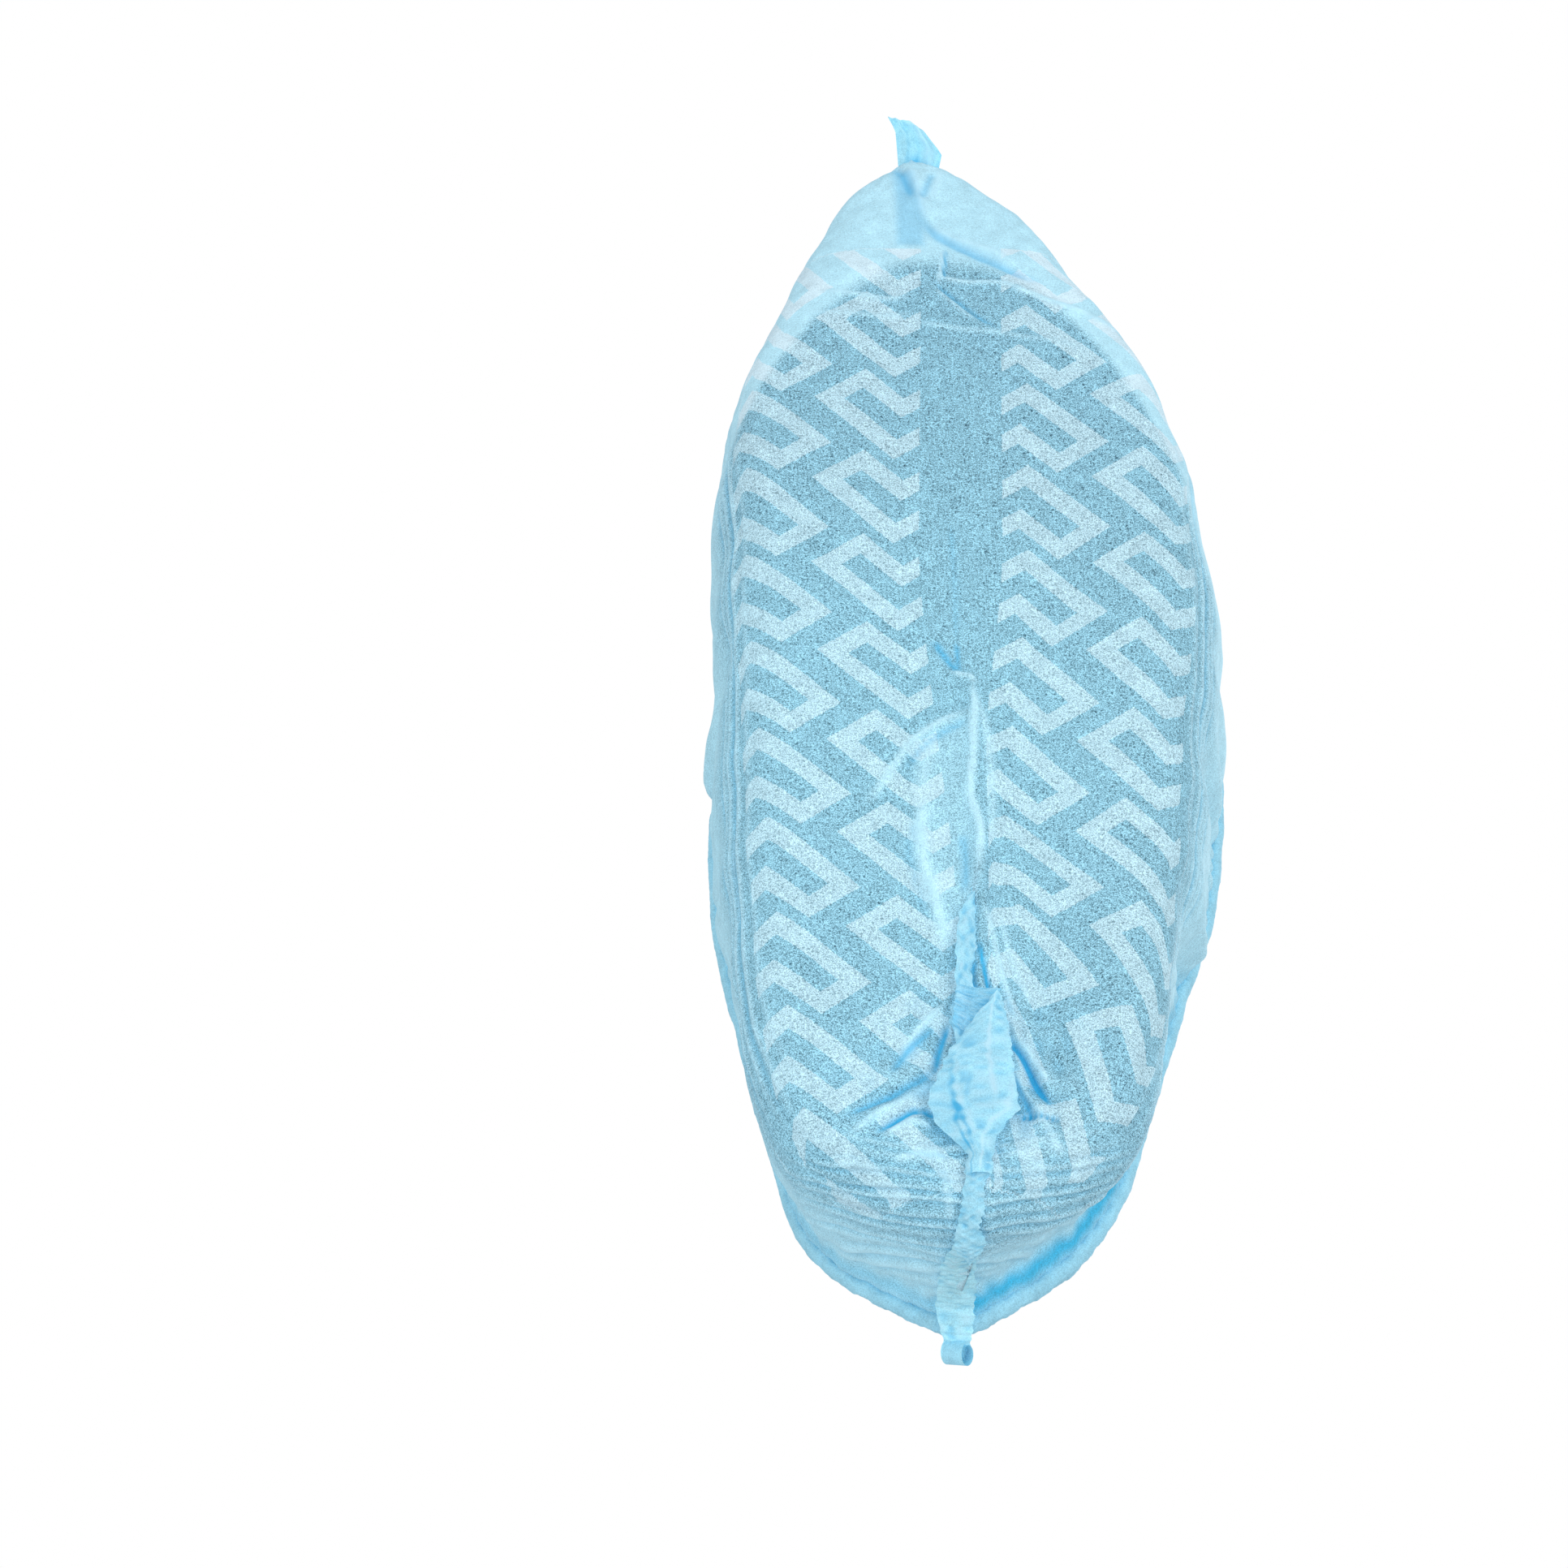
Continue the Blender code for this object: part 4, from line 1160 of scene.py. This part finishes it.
def sheet_colour(tree):
    """Colour of the printed sheet before its grain, with its painted glow and painted shoe shade, and how
    much painted shoe shade shows through its gaps.
    """
    shade = add(tree, "ShaderNodeUVMap", uv_map="shade").outputs[0]
    shade = add(tree, "ShaderNodeSeparateXYZ", {0: shade})
    painted_dark, rim = shade.outputs["X"], shade.outputs["Y"]
    # painted glow where the toe is empty, painted shade of a shoe on the sole
    ground = add(
        tree,
        "ShaderNodeMix",
        {"Factor": painted_dark, "A": linear(CLOTH_WITH_PAINTED_GLOW), "B": linear(CLOTH_WITH_PAINTED_SHOE_SHADE)},
        data_type="RGBA",
        clamp_factor=True,
    ).outputs["Result"]
    inked = add(
        tree,
        "ShaderNodeMix",
        {"Factor": painted_dark, "A": linear(PRINT_WITH_PAINTED_GLOW), "B": linear(PRINT_WITH_PAINTED_SHOE_SHADE)},
        data_type="RGBA",
        clamp_factor=True,
    ).outputs["Result"]
    printed = print_mask(tree)
    colour = add(
        tree,
        "ShaderNodeMix",
        {"Factor": printed, "A": ground, "B": inked},
        data_type="RGBA",
        clamp_factor=True,
    ).outputs["Result"]
    filled = add(
        tree, "ShaderNodeMath", {0: printed, 1: -PRINT_CLOSES, 2: 1.0}, operation="MULTIPLY_ADD"
    ).outputs[0]
    painted_shade_in_gaps = add(tree, "ShaderNodeMath", {0: painted_dark, 1: filled}, operation="MULTIPLY").outputs[0]
    # painted shade in the valley below the hem
    colour = add(
        tree,
        "ShaderNodeMix",
        {"Factor": rim, "A": colour, "B": linear(RIM_VALLEY_PAINTED_SHADE)},
        data_type="RGBA",
        clamp_factor=True,
    ).outputs["Result"]
    return colour, painted_shade_in_gaps


print("bare cloth on the shoe, linear:", [round(c, 3) for c in linear(CLOTH_WITH_PAINTED_SHOE_SHADE)[:3]])

# %% [markdown]
# ## Plain cloth of the seams and the hem
# The hem and the seams carry no print and lie clear of the shoe. Their colour only varies a little, in soft
# patches a few millimetres wide, because the layers of cloth lie more or less close together.

# %% Colours of the plain cloth
PATCH_SCALE = 160.0  # patches of about 6 mm


def plain_colour(tree, light, shaded):
    """Two close colours in soft patches."""
    where = add(tree, "ShaderNodeTexCoord").outputs["Object"]
    patches = add(
        tree, "ShaderNodeTexNoise", {"Vector": where, "Scale": PATCH_SCALE, "Detail": 3.0}
    ).outputs["Fac"]
    colour = add(
        tree,
        "ShaderNodeMix",
        {"Factor": patches, "A": linear(light), "B": linear(shaded)},
        data_type="RGBA",
        clamp_factor=True,
    ).outputs["Result"]
    return colour, 0.0


print("patches:", round(1 / PATCH_SCALE / MM, 1), "mm")

# %% [markdown]
# ## The cloth itself
# One function makes the non-woven cloth for every piece, from its colour nodes and the light that comes
# through it. In order it adds the creases' painted shade and highlights, the grain of the fibres, the
# bonding marks and soft clouds, for the stitched strip also the bars of its thread, then a fine relief. A
# matt plastic surface is mixed with a translucent one, so that the empty toe glows. The grain is strongest
# where the shoe's shade is painted.

# %% Spunbond material
FLECK = 0.00032  # size of one fleck of the grain, metres; drawn coarser than the fibres, so that it shows
BOND_CELL = 0.0011  # size of a cell between the bonding marks
CLOUD_SCALE = 230.0  # soft clouds of about 4 mm
PAINTED_FOLD_SHADE_BLUE = "#22a9dc"  # painted shade in a fold or crease
OPEN_FIBRES_AND_PAINTED_HIGHLIGHT = "#c6eefb"  # painted highlight on a crest, and opened fibres along a crease
LEAST_GRAIN, GRAIN_IN_PAINTED_SHOE_SHADE = 0.2, 0.75
BAR_DARKENS = 0.2


def spunbond(name, colours, through, see_through, marked=True, bars=None):
    """A non-woven cloth: colours adds the colour nodes, through is the light that comes through it."""
    material = bpy.data.materials.new(name)
    material.use_nodes = True
    tree = material.node_tree
    tree.nodes.clear()
    colour, painted_dark = colours(tree)
    cloth = add(tree, "ShaderNodeUVMap", uv_map="cloth").outputs[0]
    where = add(tree, "ShaderNodeTexCoord").outputs["Object"]
    grain = add(
        tree, "ShaderNodeTexNoise", {"Vector": where, "Scale": 1 / FLECK, "Detail": 1.5, "Roughness": 0.6}
    ).outputs["Fac"]
    clouds = add(
        tree, "ShaderNodeTexNoise", {"Vector": where, "Scale": CLOUD_SCALE, "Detail": 3.0}
    ).outputs["Fac"]
    cells = add(
        tree, "ShaderNodeTexVoronoi", {"Vector": cloth, "Scale": 1 / BOND_CELL, "Randomness": 0.55}
    )
    depth = LEAST_GRAIN
    # the grain deepens where the shade of the shoe is painted
    if isinstance(painted_dark, bpy.types.NodeSocket):
        depth = add(
            tree,
            "ShaderNodeMath",
            {0: painted_dark, 1: GRAIN_IN_PAINTED_SHOE_SHADE, 2: LEAST_GRAIN},
            operation="MULTIPLY_ADD",
        ).outputs[0]
    # the marks map carries painted shade and painted highlight, partly opened fibres
    if marked:
        marks = add(tree, "ShaderNodeUVMap", uv_map="marks").outputs[0]
        marks = add(tree, "ShaderNodeSeparateXYZ", {0: marks})
        colour = add(
            tree,
            "ShaderNodeMix",
            {"Factor": marks.outputs["Y"], "A": colour, "B": linear(OPEN_FIBRES_AND_PAINTED_HIGHLIGHT)},
            data_type="RGBA",
            clamp_factor=True,
        ).outputs["Result"]
        painted_fold_share = add(
            tree,
            "ShaderNodeMath",
            {0: marks.outputs["X"], 1: 0.85, 2: 0.0},
            operation="MULTIPLY_ADD",
        ).outputs[0]
        colour = add(
            tree,
            "ShaderNodeMix",
            {"Factor": painted_fold_share, "A": colour, "B": linear(PAINTED_FOLD_SHADE_BLUE)},
            data_type="RGBA",
            clamp_factor=True,
        ).outputs["Result"]
        both = add(
            tree, "ShaderNodeMath", {0: marks.outputs["X"], 1: marks.outputs["Y"]}, operation="ADD"
        )
        calm = add(
            tree,
            "ShaderNodeMapRange",
            {"Value": both.outputs[0], "From Max": 1.0, "To Min": 1.0, "To Max": 0.3},
        ).outputs["Result"]
        depth = add(tree, "ShaderNodeMath", {0: calm, 1: depth}, operation="MULTIPLY").outputs[0]
    fleck = add(
        tree,
        "ShaderNodeMapRange",
        {"Value": grain, "From Min": 0.34, "From Max": 0.66, "To Min": -0.9, "To Max": 0.56},
    ).outputs["Result"]
    from_mark = cells.outputs["Distance"]
    cell = add(
        tree,
        "ShaderNodeMapRange",
        {"Value": from_mark, "From Min": 0.1, "From Max": 0.55, "To Min": -0.3, "To Max": 0.2},
    ).outputs["Result"]
    cloud = add(
        tree,
        "ShaderNodeMapRange",
        {"Value": clouds, "From Min": 0.3, "From Max": 0.7, "To Min": -0.08, "To Max": 0.08},
    ).outputs["Result"]
    speckle = add(tree, "ShaderNodeMath", {0: fleck, 1: cell}, operation="ADD").outputs[0]
    speckle = add(
        tree, "ShaderNodeMath", {0: speckle, 1: depth, 2: cloud}, operation="MULTIPLY_ADD"
    ).outputs[0]
    level = add(
        tree, "ShaderNodeMath", {0: speckle, 1: 1.0, 2: 1.0}, operation="MULTIPLY_ADD"
    ).outputs[0]
    if bars:
        parts = add(tree, "ShaderNodeSeparateXYZ", {0: cloth})
        along = add(
            tree, "ShaderNodeMath", {0: parts.outputs["Y"], 1: bars, 2: 0.0}, operation="WRAP"
        ).outputs[0]
        bar = add(
            tree, "ShaderNodeMath", {0: along, 1: bars / 2, 2: bars / 7}, operation="COMPARE"
        ).outputs[0]
        stitched = add(tree, "ShaderNodeMath", {0: bar, 1: clouds}, operation="MULTIPLY").outputs[0]
        darker = add(
            tree, "ShaderNodeMath", {0: stitched, 1: -BAR_DARKENS, 2: 1.0}, operation="MULTIPLY_ADD"
        ).outputs[0]
        level = add(tree, "ShaderNodeMath", {0: level, 1: darker}, operation="MULTIPLY").outputs[0]
    colour = add(
        tree, "ShaderNodeVectorMath", {0: colour, "Scale": level}, operation="SCALE"
    ).outputs[0]
    height = add(
        tree, "ShaderNodeMath", {0: cell, 1: 0.6, 2: grain}, operation="MULTIPLY_ADD"
    ).outputs[0]
    relief = add(
        tree, "ShaderNodeBump", {"Height": height, "Strength": 0.3, "Distance": 0.0002}
    ).outputs["Normal"]
    surface = add(
        tree,
        "ShaderNodeBsdfPrincipled",
        {"Base Color": colour, "Roughness": 0.75, "IOR": 1.49, "Specular IOR Level": 0.3, "Normal": relief},
    ).outputs[0]
    lit_through = add(
        tree, "ShaderNodeBsdfTranslucent", {"Color": linear(through), "Normal": relief}
    ).outputs[0]
    mixed = add(tree, "ShaderNodeMixShader", {0: see_through, 1: surface, 2: lit_through}).outputs[0]
    add(tree, "ShaderNodeOutputMaterial", {"Surface": mixed})
    return material


print("grain", round(FLECK / MM, 2), "mm, bonding marks", round(BOND_CELL / MM, 1), "mm apart")

# %% [markdown]
# ## Five finishes of one cloth
# The sheet is single cloth with the anti-slip print, so it shows everything above. The rolled hem and the
# seams are several layers thick: their blue is fuller and even. The small fold gets a darker copy of the
# seam cloth, painted shade for where it lies in the flap's shade.
# The strip up the heel is pressed flat and sewn across: pale cloth with faint darker bars about 2 mm apart.

# %% Materials of the pieces
LIGHT_THROUGH, PAINTED_SHADE_THROUGH, STRIP_THROUGH = "#7fd0ec", "#6fcbec", "#b4eeff"
ONE_LAYER, TWO_LAYERS = 0.2, 0.25  # share of the light that comes through
BAR_SPACING = 0.0022
SHEET = spunbond("printed spunbond polypropylene", sheet_colour, LIGHT_THROUGH, ONE_LAYER)
HEM = spunbond(
    "rolled spunbond hem",
    lambda tree: plain_colour(tree, "#aee6f7", "#9edcf2"),
    LIGHT_THROUGH,
    ONE_LAYER,
    marked=False,
)
SEAM = spunbond(
    "doubled spunbond seam",
    lambda tree: plain_colour(tree, "#b6e9f8", "#a2e1f5"),
    LIGHT_THROUGH,
    TWO_LAYERS,
)
# a darker copy of the seam cloth: painted shade for the fold under the flap
SEAM_WITH_PAINTED_SHADE = spunbond(
    "spunbond in a fold with painted shade",
    lambda tree: plain_colour(tree, "#a4def3", "#8bd2ef"),
    PAINTED_SHADE_THROUGH,
    TWO_LAYERS,
)
STITCHED = spunbond(
    "stitched spunbond strip",
    lambda tree: plain_colour(tree, "#c2f3fd", "#aceafb"),
    STRIP_THROUGH,
    ONE_LAYER,
    bars=BAR_SPACING,
)
cover.data.materials.append(SHEET)
hem.data.materials.append(HEM)
for piece in SEAM_PIECES:
    piece.data.materials.append({heel_fold: SEAM_WITH_PAINTED_SHADE, heel_strip: STITCHED}.get(piece, SEAM))
print("materials:", [m.name for m in bpy.data.materials])

# %% [markdown]
# ## Tie the pieces to the frame
# Nothing on a shoe cover is hinged, so every piece rides on the one body. Each cloth piece stands for its
# plain solid, which is hidden. A folded 36 x 15 cm cover is a sheet of 36 x 30.

# %% Ride and replace
for piece in [cover, hem, *SEAM_PIECES]:
    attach(piece, "root")
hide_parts("cover_body")
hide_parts("elastic_hem")
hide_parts("heel_seam")
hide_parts("toe_seam")
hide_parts("toe_tab")
print("pieces on the frame:", 2 + len(SEAM_PIECES))

# %% [markdown]
# ## The camera
# The cover is seen from below and from the heel end, with its toe up, 1.3 m away. A long lens keeps its
# sides almost parallel. The camera's matrix is built from its own right, up and back directions, because
# angles would be hard to read for a view from below.

# %% Camera
VIEW_TILT = math.radians(38)  # between the line of sight and square to the sole
DISTANCE = 1.3
LENS = 121.0
AIM_LEFT, AIM_DOWN = 0.0438, 0.0208  # how far the picture's middle is from the foot seat
back = Vector((0, math.sin(VIEW_TILT), -math.cos(VIEW_TILT)))
picture_right = Vector((1, 0, 0))
picture_up = Vector((0, -math.cos(VIEW_TILT), -math.sin(VIEW_TILT)))
eye = back * DISTANCE
sight = (-picture_right * AIM_LEFT - picture_up * AIM_DOWN - eye).normalized()
camera_up = picture_right.cross(sight).normalized()
camera_right = sight.cross(camera_up)
camera = bpy.data.objects.new("camera", bpy.data.cameras.new("camera"))
camera.data.lens = LENS
camera.data.sensor_width = 36
camera.matrix_world = Matrix((camera_right, camera_up, -sight)).transposed().to_4x4()
camera.location = eye
bpy.context.scene.collection.objects.link(camera)
bpy.context.scene.camera = camera
print("camera stands at", [round(v, 3) for v in eye])

# %% [markdown]
# ## Floor and world
# The cover hangs in a studio tent, as if worn, so the floor is well below both it and the camera. A white
# world gives even light from all sides; the camera sees it brighter than it lights the cover, so that
# the folds keep their depth before a white ground. The floor glows a little, like a lit paper sweep.

# %% Floor and world
FLOOR_Z = -1.75
FLOOR_GLOW = 0.22  # a lit sweep, so that the floor stays as white as the tent
bpy.ops.mesh.primitive_plane_add(size=60, location=(0, 0, FLOOR_Z))
floor = bpy.context.object
floor.name = "floor"
paint = bpy.data.materials.new("pale floor paint")
paint.use_nodes = True
coat = paint.node_tree.nodes["Principled BSDF"]
coat.inputs["Base Color"].default_value = linear("#f4f5f6")
coat.inputs["Roughness"].default_value = 0.9
coat.inputs["Emission Color"].default_value = linear("#ffffff")
coat.inputs["Emission Strength"].default_value = FLOOR_GLOW
floor.data.materials.append(paint)

TENT_LIGHT = 0.7  # the tent is seen as white but lights the cover a little less
world = bpy.data.worlds.new("white tent")
world.use_nodes = True
sky = world.node_tree.nodes["Background"]
sky.inputs["Color"].default_value = (1, 1, 1, 1)
seen = add(world.node_tree, "ShaderNodeLightPath").outputs["Is Camera Ray"]
strength = add(world.node_tree, "ShaderNodeMapRange", {"Value": seen, "To Min": TENT_LIGHT, "To Max": 1.0})
world.node_tree.links.new(strength.outputs["Result"], sky.inputs["Strength"])
bpy.context.scene.world = world
bpy.context.scene.view_settings.view_transform = "Standard"
print("floor", FLOOR_Z, "m below the sole; tent light", TENT_LIGHT)

# %% [markdown]
# ## Three soft lamps
# Light from everywhere hides folds. A key lamp high on the right of the camera draws them, a weaker fill
# from the left keeps their shadows open, and a third lamp above the toe shines through the empty cloth.


# %% Lamps
def lamp(name, place, size, power):
    """A square soft lamp that faces the cover."""
    light = bpy.data.lights.new(name, "AREA")
    light.size = size
    light.energy = power
    made = bpy.data.objects.new(name, light)
    made.location = place
    made.rotation_euler = (-Vector(place)).to_track_quat("-Z", "Y").to_euler()
    bpy.context.scene.collection.objects.link(made)


KEY_SIZE, KEY_POWER = 0.6, 7
FILL_SIZE, FILL_POWER = 0.9, 3
TOP_SIZE, TOP_POWER = 0.9, 10
lamp("key", eye + picture_right * 0.75 + picture_up * 0.45, KEY_SIZE, KEY_POWER)
lamp("fill", eye - picture_right * 0.8 - picture_up * 0.1, FILL_SIZE, FILL_POWER)
lamp("top", Vector((0.5, -0.7, 1.3)), TOP_SIZE, TOP_POWER)
print("lamps, watts:", KEY_POWER, FILL_POWER, TOP_POWER)
